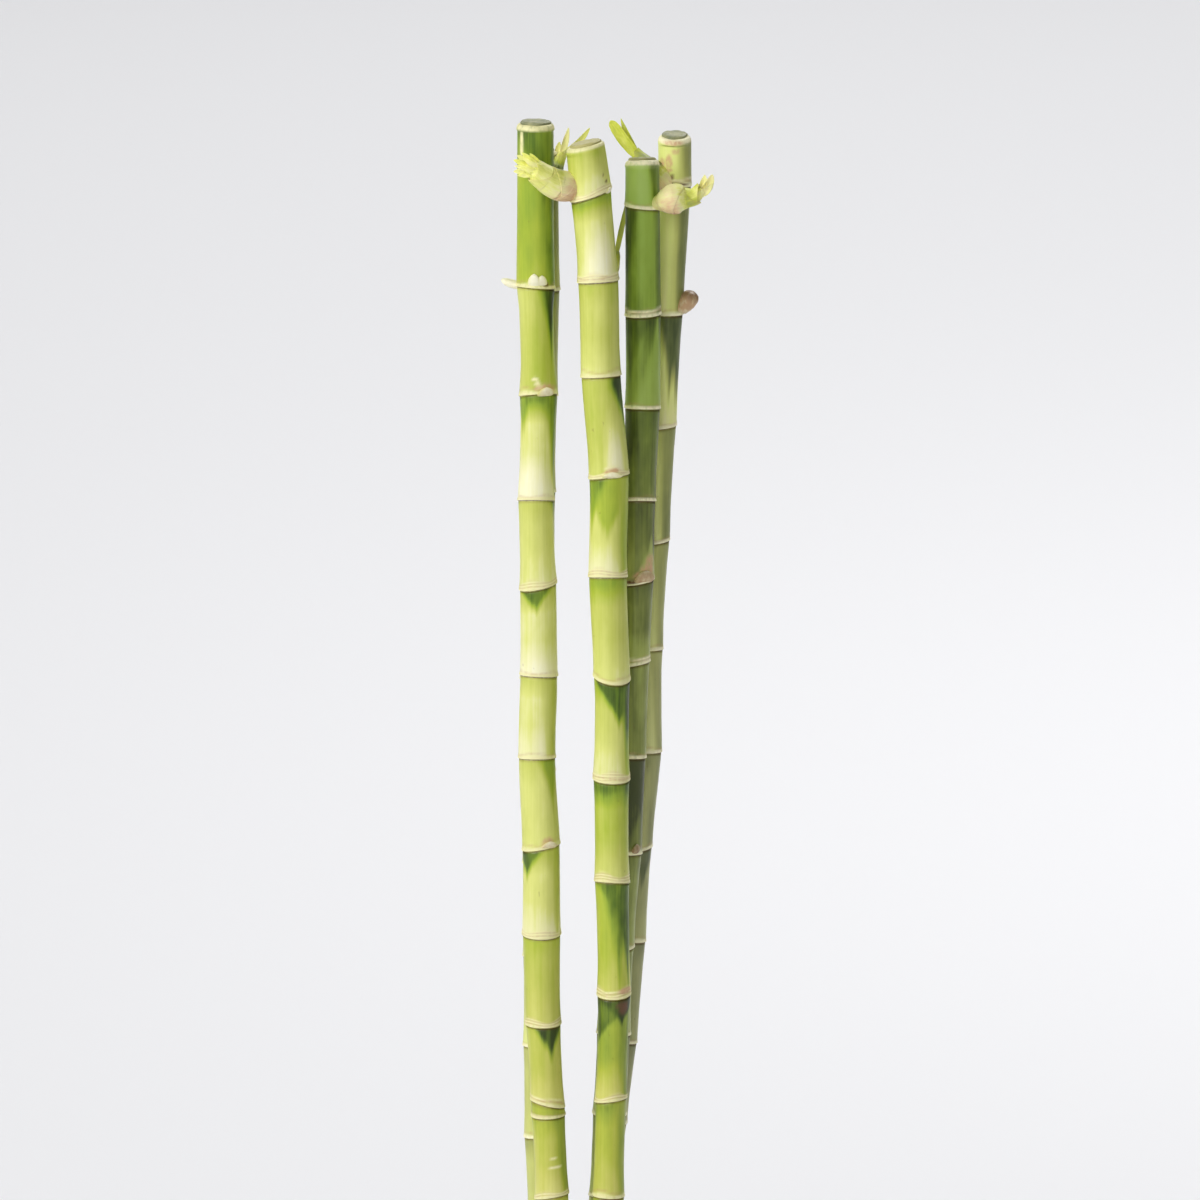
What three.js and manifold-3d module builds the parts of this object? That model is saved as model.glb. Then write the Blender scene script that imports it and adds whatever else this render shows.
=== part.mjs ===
// Lucky bamboo: five cut canes with young side shoots, standing in water in a plain clear glass vase.
// Millimetres, +Z up, the front towards -Y. The origin is the centre of the vase's flat foot.
// Angles round a cane are in degrees from +X, so -90 faces the front.

import * as THREE from "three";
import { mergeVertices } from "three/addons/utils/BufferGeometryUtils.js";
import Module from "manifold-3d";

const wasm = await Module();
wasm.setup();

// The vase: a plain tapered tumbler with a thick glass floor.
const VASE_HEIGHT = 150;
const VASE_FOOT_RADIUS = 41;
const VASE_MOUTH_RADIUS = 26.8;
const VASE_TAPER = 1.5; // 1 is a straight cone; above 1 the wall draws in faster near the foot
const GLASS_WALL = 3;
const GLASS_FLOOR = 9;
const FOOT_EDGE = 2.5; // rounding of the foot and of the inner corner
const CORNER = 1 - Math.SQRT1_2; // how far inside both faces the middle of a rounding of radius 1 lies
const VASE_SIDES = 48;
const VASE_WALL_STEPS = 6;
const WATER_LEVEL = 95;
const HOLE_OVERRUN = 2; // a cane's hole in the water runs on past both its ends

const CLEARANCE = 0.3; // between pieces that touch
const WELD = 1e-4; // points closer than this are one

// Every cane is a stack of internodes, each a little waisted, with a raised sheath scar at each ring.
const CANE_SIDES = 12;
const RING_LIP = 1.045; // radii below are shares of the cane's ring radius
const RING_FOOT = 0.98;
const RING_SHOULDER = 1.01;
const RING_DROP = 0.6; // from the lip down to the next internode's skin
const RING_RISE = 1.2; // from the lip up to the shoulder
const WAIST_AT = [0.3, 0.8]; // shares of the way up an internode
const SHORTEST_WAISTED = 8; // closer rings are a double scar with no waist between them
const BURIED_WAIST = 0.95; // waist of the internodes that no ring below lists
const BURIED_DROP = 0.4; // drop of the low side of the rings that no ring below lists
const LOWEST_RING = 12; // above the foot
const CUT_BEVEL_WIDTH = 1.1;
const CUT_BEVEL_HEIGHT = 1.9;

// The wax seal on a cut face: rise above the face and share of its radius.
const SEAL_INSET = 0.25; // inside the cut face's edge
const SEAL_THICKNESS = 0.7;
const SEAL_SHAPE = [
  { rise: 0, girth: 1 },
  { rise: 0.6, girth: 0.97 },
  { rise: 1, girth: 0.75 },
];

// A bud's root is sunk in the cane, and its middle swells out: both as shares of the cane's ring radius.
const BUD_SIDES = 6;
const BUD_SEAT = 0.8;
const BUD_SWELL = 0.22;
const BUD_SWELL_TURN = 0.6 * Math.PI; // part of a sine's half wave that the swelling follows
const BUD_LIFT = 0.4; // from the ring up to the bud's root
const BUD_SHAPE = [
  { along: 0, girth: 0.42 },
  { along: 0.35, girth: 0.5 },
  { along: 0.7, girth: 0.37 },
  { along: 1, girth: 0.11 },
];

const SHEATH_SIDES = 10;
const SHEATH_FLARE = 1.13; // radius at a sheath's open edge, against where the next one comes out of it
const SHEATH_OPEN = 0.86; // share of a sheath's length at which its edge stands
const SHEATH_END = 0.8; // radius at the last sheath's end, against its girth there

const LEAF_THICKNESS = 1;
const LEAF_THINNEST = 0.65; // thickness at the narrow ends, as a share of the blade's
const LEAF_FOLD = 0.35; // depth of the channel along the blade, as a share of half its width
const LEAF_WIDTHS = [0.55, 0.9, 1, 0.8, 0.45, 0.14]; // along the blade, as shares of its width
const LEAF_FRONT = new THREE.Vector3(0, -1, -0.35); // the side to which the channel is open, roughly

// path: height, x, y and ring radius of the cane, from the foot up.
// rings, from the top down: height, direction of the low side, drop of that side, and girth of the
// internode above as a share of the ring radius. ringStep: spacing of the rings below those.
// cut: rise of the top face per millimetre along +X and +Y.
// buds: ring height, direction, length, width, and how far the bud stands out per millimetre of rise.
const CANES = {
  front_left: {
    path: [
      [9, -7, -12, 5.6], [165, -9.3, -12.5, 5.5], [195, -10.5, -12.4, 5.5], [224, -12, -12.3, 5.7],
      [254, -12.5, -12.1, 6.15], [283, -12.6, -12, 6.05], [312, -13.9, -11.9, 5.95], [340, -13.3, -11.8, 6.05],
      [369, -13.5, -11.6, 5.95], [397, -14.1, -11.5, 5.85], [431, -13.3, -11.3, 6.1], [466, -14.1, -11.1, 6.15],
      [519, -14.1, -10.9, 6.1],
    ],
    rings: [
      [466.3, 47, 0.7, 0.955], [431.3, 106, 1.3, 0.89], [397, 90, 1.2, 0.93], [369, -168, 1.1, 0.95],
      [339.7, 73, 0.6, 0.98], [312.5, 90, 0.6, 1], [283, 174, 1, 0.99], [254, -90, 0.6, 0.98],
      [224, -60, 0.3, 0.97], [197.3, 8, 1.6, 0.96], [193.3, -90, 0.1, 1], [166, 138, 1.1, 0.95],
    ],
    ringStep: 29,
    cut: [0, 0.03],
    buds: [
      [466.3, -90, 5, 4.4, 0.12], [466.3, 178, 4.6, 1.7, 2.2], [431.3, -68, 4.6, 3.8, 0.12],
      [283, -72, 4, 3.4, 0.1],
    ],
  },
  front_right: {
    path: [
      [9, 7, -12, 5.4], [166, 9.2, -13, 5.2], [198, 10, -13.3, 5.2], [234, 11, -13.7, 5.45],
      [272, 10.4, -14.1, 5.65], [306, 10.2, -14.5, 5.85], [339, 10.3, -14.9, 5.85], [373, 9, -15.2, 6.15],
      [406, 9.3, -15.6, 6.35], [438, 6.8, -16, 6.35], [469, 5.9, -16.4, 6.5], [497, 3.6, -16.7, 6.45],
      [513, 1.8, -16.9, 6.25],
    ],
    rings: [
      [497, -175, 1.7, 0.99], [469, 104, 0.65, 0.95], [438.3, 100, 0.6, 0.975], [405.6, 135, 1, 0.98],
      [372.6, 85, 1.1, 0.97], [339.8, -61, 1.7, 0.985], [306, -67, 0.4, 0.94], [271.7, 73, 1.1, 0.945],
      [234.2, -106, 0.6, 0.94], [198.7, 149, 1, 0.925], [166.3, 59, 0.3, 0.945],
    ],
    ringStep: 31,
    cut: [0.22, 0.02],
    buds: [
      [497, -42, 3.8, 3, 0.1], [405.6, -92, 4, 4.8, 0.12], [438.3, 120, 3.6, 2.8, 0.15],
      [271.7, 75, 3.6, 2.8, 0.15],
    ],
  },
  middle_right: {
    path: [
      [9, 7, 4, 5.5], [163, 8.6, 3, 5.5], [217, 10.9, 2.1, 5.5], [247, 12, 1.6, 5.6], [278, 14.4, 1.1, 5.7],
      [310, 15.8, 0.6, 5.7], [341, 17, 0, 5.7], [368, 18.3, -0.5, 5.7], [395, 18.8, -0.9, 5.7],
      [425, 20.2, -1.5, 5.7], [456, 20.3, -2, 5.75], [506, 20, -2.8, 5.6],
    ],
    rings: [
      [491, 10, 0.6, 0.97], [456, -175, 0.3, 0.98], [425.4, 90, 0.7, 0.97], [394.8, 99, 1.3, 0.96],
      [368.4, 180, 1.1, 0.97], [341, 160, 1.3, 0.96], [309.8, 99, 0.9, 0.96], [277.8, 104, 0.7, 0.95],
      [247, -70, 0.6, 0.95], [217, 80, 0.5, 0.95], [190, -90, 0.4, 0.95], [162.5, -110, 0.4, 0.95],
    ],
    ringStep: 28,
    cut: [0.02, -0.14],
    buds: [
      [456, 100, 3.8, 2.8, 0.15], [368.4, -58, 5, 4.4, 0.15], [277.8, -50, 3.8, 2.8, 0.15],
    ],
  },
  back_right: {
    path: [
      [9, -1, 20, 4.95], [158, 7.8, 16, 4.95], [184, 10.4, 15.6, 4.95], [211, 13.6, 15.3, 4.95],
      [245, 16.5, 14.8, 4.95], [276, 18.6, 14.4, 4.95], [309, 21.7, 13.9, 4.95], [343, 22.1, 13.4, 4.95],
      [379, 24.2, 12.9, 4.95], [417, 26.3, 12.4, 4.95], [454, 28.2, 11.8, 5.05], [496, 30.5, 11.3, 5.3],
      [512, 30.5, 11, 5.4],
    ],
    rings: [
      [496.5, 0, 0.4, 0.99], [454, 130, 0.3, 0.96], [417, 176, 0.8, 0.95], [379, 178, 0.9, 0.94],
      [343, 115, 0.7, 0.94], [309, 107, 0.5, 0.94], [276.5, -173, 1.1, 0.95], [245.4, 90, 0.4, 0.95],
      [211.5, 30, 0.4, 0.95], [184, -90, 0.4, 0.95], [158, 60, 0.4, 0.95],
    ],
    ringStep: 27,
    cut: [0, 0.15],
    buds: [
      [454, -12, 7.4, 6.2, 0.8], [379, 140, 3.4, 2.4, 0.15], [309, 60, 3.4, 2.4, 0.15],
    ],
  },
  back_left: {
    path: [
      [9, -10, 8, 5.7], [151, -11.7, 11.1, 5.7], [181, -12.8, 10.8, 5.7], [211, -13.1, 10.4, 5.7],
      [273, -13.2, 9.7, 5.7], [304, -13.8, 9.4, 5.7], [397, -13.6, 8.3, 5.7], [428, -12.9, 8, 5.7],
      [463, -12.2, 7.6, 5.7], [508, -12.5, 7.1, 5.6],
    ],
    rings: [
      [497.5, -20, 0.6, 1], [463, 20, 0.4, 0.96], [428, 90, 0.4, 0.95], [396.5, 60, 0.5, 0.95],
      [365.5, 110, 0.4, 0.95], [334, 60, 0.6, 0.96], [303.5, 100, 0.3, 0.95], [272.5, 70, 0.5, 0.96],
      [241.5, 110, 0.5, 0.95], [211, 80, 0.4, 0.95], [180.5, 150, 0.6, 0.95], [151, 90, 0.4, 0.95],
    ],
    ringStep: 30,
    cut: [-0.05, -0.05],
    buds: [
      [428, 80, 4, 3, 0.15], [365.5, 110, 3.8, 2.8, 0.15], [272.5, 75, 3.8, 2.8, 0.15],
    ],
  },
};

// Side shoots. path runs from inside the cane to the last sheath, girth gives the radius at each of its
// points, and sheaths is how many overlapping sheaths wrap it. leaves: root, bow and tip of each blade,
// with its width.
const SHOOTS = {
  shoot_front_right: {
    cane: "front_right",
    path: [
      [2, -18.5, 499], [-1.8, -20.2, 499.6], [-6, -21.8, 499.9], [-10, -22.4, 501.6], [-13.9, -22.2, 504.4],
      [-16.8, -21.8, 506.6],
    ],
    girth: [4.2, 4.3, 4.2, 3.8, 3.4, 2.8],
    sheaths: 4,
    leaves: [
      { path: [[-14.6, -21.6, 505.6], [-17.6, -20.8, 508.8], [-20.2, -19.8, 510.6]], width: 3.6 },
      { path: [[-14.8, -22.4, 505.4], [-18, -22.4, 507], [-21, -21.2, 507.6]], width: 3.6 },
      { path: [[-13.6, -23, 505.4], [-16.4, -23.6, 508.4], [-17.8, -23, 511.2]], width: 3.2 },
      { path: [[-14.6, -22, 504.2], [-17.8, -22, 504.6], [-20.8, -20.8, 504.2]], width: 3.2 },
      { path: [[-13.4, -23.2, 504], [-16.6, -24.4, 505.2], [-19, -23.8, 506.2]], width: 3 },
    ],
  },
  shoot_middle_right: {
    cane: "middle_right",
    path: [
      [22.6, -5, 492.8], [26, -6.6, 493.4], [29.8, -7.6, 493.8], [34.6, -7.8, 493.9], [38.4, -7.6, 495.6],
    ],
    girth: [3.6, 4, 3.7, 2.5, 2],
    sheaths: 4,
    leaves: [
      { path: [[36.8, -7.8, 494.8], [41, -7.6, 497], [42.6, -7, 502.4]], width: 3.4 },
      { path: [[37, -7.2, 495], [39.8, -6.6, 498], [40.8, -6, 501.4]], width: 2.8 },
      { path: [[36.6, -8.4, 495], [39.4, -9, 496.8], [41.4, -9, 499.4]], width: 2.6 },
    ],
  },
  shoot_back_right: {
    cane: "back_right",
    path: [
      [28.8, 9, 496.6], [26.4, 8, 500], [24.2, 8.4, 503.6], [21.2, 9.6, 505.4], [18.8, 10, 507.2],
      [16.8, 10.3, 509.4],
    ],
    girth: [2.9, 3, 2.7, 2.5, 2.3, 1.8],
    sheaths: 3,
    leaves: [
      { path: [[17.6, 9.8, 508.2], [13.8, 10.2, 512], [9.8, 10.6, 517.2]], width: 3.4 },
      { path: [[17.4, 10.4, 508.6], [15, 11.2, 512], [13.2, 11.8, 518]], width: 2.8 },
    ],
  },
  shoot_back_left: {
    cane: "back_left",
    path: [[-10.4, 5.6, 496.6], [-8.2, 4.6, 500.4], [-7, 4.8, 504], [-5.4, 5.6, 507.4]],
    girth: [2.8, 2.9, 2.4, 1.8],
    sheaths: 3,
    leaves: [
      { path: [[-6.2, 5.4, 506], [-4.6, 5.6, 510.6], [-3.5, 6, 515.6]], width: 2.8 },
      { path: [[-5.8, 5.6, 506.6], [-0.4, 6.2, 509.4], [3.8, 7, 515.8]], width: 3 },
      { path: [[-6.4, 6, 506], [-7.4, 7.6, 508.2], [-6.2, 8.8, 510.6]], width: 2.2 },
    ],
  },
  shoot_front_right_rear: {
    cane: "front_right",
    path: [[8.4, -12.8, 469.6], [10.8, -9.4, 471.6], [11.8, -5.2, 476.4]],
    girth: [1.6, 1.5, 1],
    sheaths: 2,
    leaves: [
      { path: [[11.5, -6.6, 474.8], [13.4, 2.6, 484], [16.4, 7, 496]], width: 2.2 },
    ],
  },
};

const COLOURS = {
  glass: { color: 0xe6efec, roughness: 0.05, metalness: 0, transparent: true, opacity: 0.35 },
  water: { color: 0xdcebe8, roughness: 0.05, metalness: 0, transparent: true, opacity: 0.5 },
  brightCane: { color: 0xb4c455, roughness: 0.42, metalness: 0 },
  darkCane: { color: 0x5f7f2c, roughness: 0.42, metalness: 0 },
  paleCane: { color: 0x98a55a, roughness: 0.45, metalness: 0 },
  shoot: { color: 0xd6d775, roughness: 0.5, metalness: 0 },
  seal: { color: 0x6e7c5f, roughness: 0.35, metalness: 0 },
};

const CANE_COLOURS = {
  front_left: COLOURS.brightCane,
  front_right: COLOURS.brightCane,
  middle_right: COLOURS.darkCane,
  back_right: COLOURS.paleCane,
  back_left: COLOURS.paleCane,
};

// Solids and meshes.

function solidFrom(geometry) {
  const bare = new THREE.BufferGeometry();
  bare.setAttribute("position", geometry.getAttribute("position"));
  bare.setIndex(geometry.index);
  const merged = mergeVertices(bare, WELD);
  const corners = merged.index.array;
  const faces = [];
  for (let i = 0; i < corners.length; i += 3) {
    const [a, b, c] = corners.slice(i, i + 3);
    if (a !== b && b !== c && c !== a) {
      faces.push(a, b, c);
    }
  }
  return new wasm.Manifold(
    new wasm.Mesh({
      numProp: 3,
      vertProperties: merged.attributes.position.array,
      triVerts: new Uint32Array(faces),
    }),
  );
}

function geometryFrom(solid) {
  const { vertProperties, triVerts } = solid.getMesh();
  const geometry = new THREE.BufferGeometry();
  geometry.setAttribute("position", new THREE.BufferAttribute(vertProperties, 3));
  geometry.setIndex(new THREE.BufferAttribute(triVerts, 1));
  geometry.computeVertexNormals();
  return geometry;
}

// A closed body through rings of points that run anticlockwise as seen from the far end.
function loft(sections) {
  const sides = sections[0].length;
  const faces = [];
  for (let s = 0; s + 1 < sections.length; s++) {
    for (let i = 0; i < sides; i++) {
      const a = s * sides + i;
      const b = s * sides + ((i + 1) % sides);
      faces.push(a, b, b + sides, a, b + sides, a + sides);
    }
  }
  const last = (sections.length - 1) * sides;
  for (let i = 1; i + 1 < sides; i++) {
    faces.push(0, i + 1, i, last, last + i, last + i + 1);
  }
  const geometry = new THREE.BufferGeometry().setFromPoints(sections.flat());
  geometry.setIndex(faces);
  return solidFrom(geometry);
}

// Vase and water.

function outerRadius(z) {
  return VASE_MOUTH_RADIUS + (VASE_FOOT_RADIUS - VASE_MOUTH_RADIUS) * (1 - z / VASE_HEIGHT) ** VASE_TAPER;
}

function innerRadius(z) {
  return outerRadius(z) - GLASS_WALL;
}

// Points down the wall's inner side, from one height to a lower one.
function innerWall(top, bottom) {
  const points = [];
  for (let i = 0; i <= VASE_WALL_STEPS; i++) {
    const z = top + ((bottom - top) * i) / VASE_WALL_STEPS;
    points.push([innerRadius(z), z]);
  }
  return points;
}

function lathe(profile) {
  return new THREE.LatheGeometry(
    profile.map(([r, z]) => new THREE.Vector2(r, z)),
    VASE_SIDES,
  ).rotateX(Math.PI / 2);
}

function vase() {
  const rim = GLASS_WALL / 2;
  const rimRadius = VASE_MOUTH_RADIUS - rim;
  const profile = [
    [0, 0],
    [outerRadius(0) - FOOT_EDGE, 0],
    [outerRadius(0) - FOOT_EDGE * CORNER, FOOT_EDGE * CORNER],
  ];
  for (let i = 0; i <= VASE_WALL_STEPS; i++) {
    const z = FOOT_EDGE + ((VASE_HEIGHT - rim - FOOT_EDGE) * i) / VASE_WALL_STEPS;
    profile.push([outerRadius(z), z]);
  }
  profile.push([rimRadius + rim * Math.SQRT1_2, VASE_HEIGHT - rim * CORNER]);
  profile.push([rimRadius, VASE_HEIGHT]);
  profile.push([rimRadius - rim * Math.SQRT1_2, VASE_HEIGHT - rim * CORNER]);
  profile.push(...innerWall(VASE_HEIGHT - rim, GLASS_FLOOR + FOOT_EDGE));
  profile.push([innerRadius(GLASS_FLOOR) - FOOT_EDGE * CORNER, GLASS_FLOOR + FOOT_EDGE * CORNER]);
  profile.push([innerRadius(GLASS_FLOOR) - FOOT_EDGE, GLASS_FLOOR]);
  profile.push([0, GLASS_FLOOR]);
  return geometryFrom(solidFrom(lathe(profile)));
}

function water() {
  const bottom = GLASS_FLOOR + CLEARANCE;
  const profile = [
    [0, WATER_LEVEL],
    ...innerWall(WATER_LEVEL, GLASS_FLOOR + FOOT_EDGE).map(([r, z]) => [r - CLEARANCE, z]),
    [innerRadius(GLASS_FLOOR) - FOOT_EDGE - CLEARANCE, bottom],
    [0, bottom],
  ];
  let body = solidFrom(lathe(profile.reverse()));
  for (const cane of Object.values(CANES)) {
    body = body.subtract(stemHole(cane));
  }
  return geometryFrom(body);
}

// Canes.

// x, y and ring radius of a cane at a height: a smooth curve through its path.
function caneAt(cane, z) {
  const { path } = cane;
  const last = path.length - 1;
  const above = path.findIndex(([height]) => height > z);
  const k = above < 0 ? last - 1 : Math.max(above - 1, 0);
  const [z0, z1] = [path[k][0], path[k + 1][0]];
  const t = (z - z0) / (z1 - z0);
  const slope = (i, axis) => {
    const [low, high] = [path[Math.max(i - 1, 0)], path[Math.min(i + 1, last)]];
    return (high[axis] - low[axis]) / (high[0] - low[0]);
  };
  return [1, 2, 3].map(
    (axis) =>
      (2 * t ** 3 - 3 * t ** 2 + 1) * path[k][axis] +
      (t ** 3 - 2 * t ** 2 + t) * (z1 - z0) * slope(k, axis) +
      (3 * t ** 2 - 2 * t ** 3) * path[k + 1][axis] +
      (t ** 3 - t ** 2) * (z1 - z0) * slope(k + 1, axis),
  );
}

// The rise per millimetre along +X and +Y of a plane square to the cane at a height.
function squareTo(cane, z) {
  const reach = 4;
  const [x0, y0] = caneAt(cane, z - reach);
  const [x1, y1] = caneAt(cane, z + reach);
  return [(x0 - x1) / (2 * reach), (y0 - y1) / (2 * reach)];
}

function caneSection(cane, { z, radius, plane, low = 0, drop = 0 }) {
  const [x, y] = caneAt(cane, z);
  const [riseX, riseY] = plane ?? squareTo(cane, z);
  const lowAngle = THREE.MathUtils.degToRad(low);
  const points = [];
  for (let i = 0; i < CANE_SIDES; i++) {
    const angle = (i / CANE_SIDES) * 2 * Math.PI;
    const dx = radius * Math.cos(angle);
    const dy = radius * Math.sin(angle);
    const sink = drop * Math.cos(angle - lowAngle);
    points.push(new THREE.Vector3(x + dx, y + dy, z + dx * riseX + dy * riseY - sink));
  }
  return points;
}

// Rings from the foot up: those in the open, and evenly spaced ones below them.
function allRings(cane) {
  const rings = cane.rings.map(([z, low, drop, waist]) => ({ z, low, drop, waist }));
  const foot = cane.path[0][0];
  let z = rings.at(-1).z - cane.ringStep;
  while (z > foot + LOWEST_RING) {
    rings.push({ z, low: rings.at(-1).low + 180, drop: BURIED_DROP, waist: BURIED_WAIST });
    z -= cane.ringStep;
  }
  return rings.reverse();
}

function caneTop(cane) {
  return cane.path.at(-1)[0];
}

function ringRadius(cane, z) {
  return caneAt(cane, z)[2];
}

// Heights of the waist between two rings, or between the last ring and the cut.
function waistLevels(from, to, isLast) {
  if (to - from < SHORTEST_WAISTED) {
    return [];
  }
  const shares = isLast ? WAIST_AT.slice(0, 1) : WAIST_AT;
  return shares.map((share) => from + (to - from) * share);
}

function caneSolid(cane, grow = 0) {
  const rings = allRings(cane);
  const top = caneTop(cane);
  const level = (z, girth, more) => ({ z, radius: ringRadius(cane, z) * girth + grow, ...more });
  const levels = [level(GLASS_FLOOR + CLEARANCE, BURIED_WAIST, { plane: [0, 0] })];
  rings.forEach(({ z, low, drop, waist }, i) => {
    levels.push(level(z - RING_DROP, RING_FOOT, { low, drop }));
    levels.push(level(z, RING_LIP, { low, drop }));
    levels.push(level(z + RING_RISE, RING_SHOULDER, { low, drop }));
    const isLast = i === rings.length - 1;
    for (const height of waistLevels(z, isLast ? top : rings[i + 1].z, isLast)) {
      levels.push(level(height, waist));
    }
  });
  levels.push(level(top - CUT_BEVEL_HEIGHT, 1, { plane: cane.cut }));
  levels.push({ z: top, radius: ringRadius(cane, top) - CUT_BEVEL_WIDTH + grow, plane: cane.cut });
  return loft(levels.map((each) => caneSection(cane, each)));
}

// A plain round hole for a cane to stand in, from below the water to above it.
function stemHole(cane) {
  const [bottom, top] = [GLASS_FLOOR - HOLE_OVERRUN, WATER_LEVEL + HOLE_OVERRUN];
  const heights = [0, 1, 2, 3].map((i) => bottom + ((top - bottom) * i) / 3);
  const width = (z) => ringRadius(cane, z) * RING_LIP + CLEARANCE;
  const levels = heights.map((z) => ({ z, radius: width(z), plane: [0, 0] }));
  return loft(levels.map((each) => caneSection(cane, each)));
}

// A pointed bud above a ring. lean is how far it stands out per millimetre that it rises.
function bud(cane, [ring, direction, length, width, lean]) {
  const [x, y, radius] = caneAt(cane, ring);
  const angle = THREE.MathUtils.degToRad(direction);
  const rise = length / Math.hypot(1, lean);
  const points = BUD_SHAPE.map(({ along }) => {
    const swell = BUD_SWELL * Math.sin(along * BUD_SWELL_TURN);
    const out = radius * (BUD_SEAT + swell) + rise * lean * along;
    const z = ring + BUD_LIFT + rise * along;
    return new THREE.Vector3(x + out * Math.cos(angle), y + out * Math.sin(angle), z);
  });
  const stations = BUD_SHAPE.map(({ along, girth }) => ({ t: along, radius: girth * width }));
  return sweep(points, stations, BUD_SIDES);
}

// Shoots.

// A round body along a smooth curve: a station is a share of the curve's length and the radius there.
function sweep(path, stations, sides) {
  const curve = new THREE.CatmullRomCurve3(path);
  const across = new THREE.Vector3(0, 1, 0);
  const sections = [];
  for (const { t, radius } of stations) {
    const centre = curve.getPointAt(t);
    const along = curve.getTangentAt(t);
    across.addScaledVector(along, -across.dot(along)).normalize();
    const other = new THREE.Vector3().crossVectors(along, across);
    const ring = [];
    for (let i = 0; i < sides; i++) {
      const angle = (i / sides) * 2 * Math.PI;
      ring.push(
        centre
          .clone()
          .addScaledVector(across, radius * Math.cos(angle))
          .addScaledVector(other, radius * Math.sin(angle)),
      );
    }
    sections.push(ring);
  }
  return loft(sections);
}

// Overlapping sheaths, each wider at its open edge than the next one is where it comes out.
function shootBody({ path, girth, sheaths }) {
  const radiusAt = (t) => {
    const at = t * (girth.length - 1);
    const k = Math.min(Math.floor(at), girth.length - 2);
    return THREE.MathUtils.lerp(girth[k], girth[k + 1], at - k);
  };
  const stations = [];
  for (let i = 0; i < sheaths; i++) {
    const foot = i / sheaths;
    const edge = (i + SHEATH_OPEN) / sheaths;
    stations.push({ t: foot, radius: radiusAt(foot) });
    stations.push({ t: edge, radius: radiusAt(edge) * SHEATH_FLARE });
  }
  stations.push({ t: 1, radius: radiusAt(1) * SHEATH_END });
  return sweep(path.map((p) => new THREE.Vector3(...p)), stations, SHEATH_SIDES);
}

// A narrow blade with a shallow channel, from root to tip.
function leaf({ path, width }) {
  const curve = new THREE.QuadraticBezierCurve3(...path.map((p) => new THREE.Vector3(...p)));
  const sections = LEAF_WIDTHS.map((share, i) => {
    const t = i / (LEAF_WIDTHS.length - 1);
    const centre = curve.getPoint(t);
    const along = curve.getTangent(t);
    const side = new THREE.Vector3().crossVectors(along, LEAF_FRONT).normalize();
    const back = new THREE.Vector3().crossVectors(along, side);
    const half = (width * share) / 2;
    const fold = half * LEAF_FOLD;
    const thick = (LEAF_THICKNESS / 2) * Math.max(share, LEAF_THINNEST);
    const at = (right, behind) => centre.clone().addScaledVector(side, right).addScaledVector(back, behind);
    return [at(half, -fold), at(0, fold + thick), at(-half, -fold), at(0, fold - thick)];
  });
  return loft(sections);
}

function shoot(spec) {
  let body = shootBody(spec);
  for (const blade of spec.leaves) {
    body = body.add(leaf(blade));
  }
  return body.subtract(caneSolid(CANES[spec.cane], CLEARANCE));
}

function seal(cane) {
  const widest = ringRadius(cane, caneTop(cane)) - CUT_BEVEL_WIDTH - SEAL_INSET;
  const sections = SEAL_SHAPE.map(({ rise, girth }) => {
    const up = new THREE.Vector3(0, 0, CLEARANCE + rise * SEAL_THICKNESS);
    const ring = caneSection(cane, { z: caneTop(cane), radius: widest * girth, plane: cane.cut });
    return ring.map((point) => point.add(up));
  });
  return loft(sections);
}

// The assembly.

function mesh(name, geometry, look) {
  const made = new THREE.Mesh(geometry, new THREE.MeshStandardMaterial(look));
  made.name = name;
  return made;
}

const part = new THREE.Group();
part.add(mesh("vase", vase(), COLOURS.glass));
part.add(mesh("water", water(), COLOURS.water));
for (const [place, cane] of Object.entries(CANES)) {
  let body = caneSolid(cane);
  for (const each of cane.buds) {
    body = body.add(bud(cane, each));
  }
  part.add(mesh(`cane_${place}`, geometryFrom(body), CANE_COLOURS[place]));
  part.add(mesh(`wax_seal_${place}`, geometryFrom(seal(cane)), COLOURS.seal));
}
for (const [name, spec] of Object.entries(SHOOTS)) {
  part.add(mesh(name, geometryFrom(shoot(spec)), COLOURS.shoot));
}

export default part;
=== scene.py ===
import math
from typing import NamedTuple

import bpy
import numpy as np
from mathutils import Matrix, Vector


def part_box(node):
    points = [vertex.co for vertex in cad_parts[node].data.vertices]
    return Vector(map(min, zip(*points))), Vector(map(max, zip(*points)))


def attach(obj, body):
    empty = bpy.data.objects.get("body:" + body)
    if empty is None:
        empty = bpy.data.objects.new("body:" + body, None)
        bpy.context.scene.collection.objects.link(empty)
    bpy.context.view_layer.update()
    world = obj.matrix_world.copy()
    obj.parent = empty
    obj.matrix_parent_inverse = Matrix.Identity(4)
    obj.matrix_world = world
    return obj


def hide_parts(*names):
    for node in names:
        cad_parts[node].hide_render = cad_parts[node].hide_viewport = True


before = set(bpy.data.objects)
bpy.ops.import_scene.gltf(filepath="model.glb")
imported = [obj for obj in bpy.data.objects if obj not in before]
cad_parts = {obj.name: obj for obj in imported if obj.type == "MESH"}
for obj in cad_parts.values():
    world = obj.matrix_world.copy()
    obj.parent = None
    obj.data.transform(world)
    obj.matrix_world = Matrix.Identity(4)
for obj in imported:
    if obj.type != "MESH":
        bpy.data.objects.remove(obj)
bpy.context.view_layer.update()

MM = 0.001
CANE_SEED = 7
WAX_SEED = 57
SHOOT_SEED = 97

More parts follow.
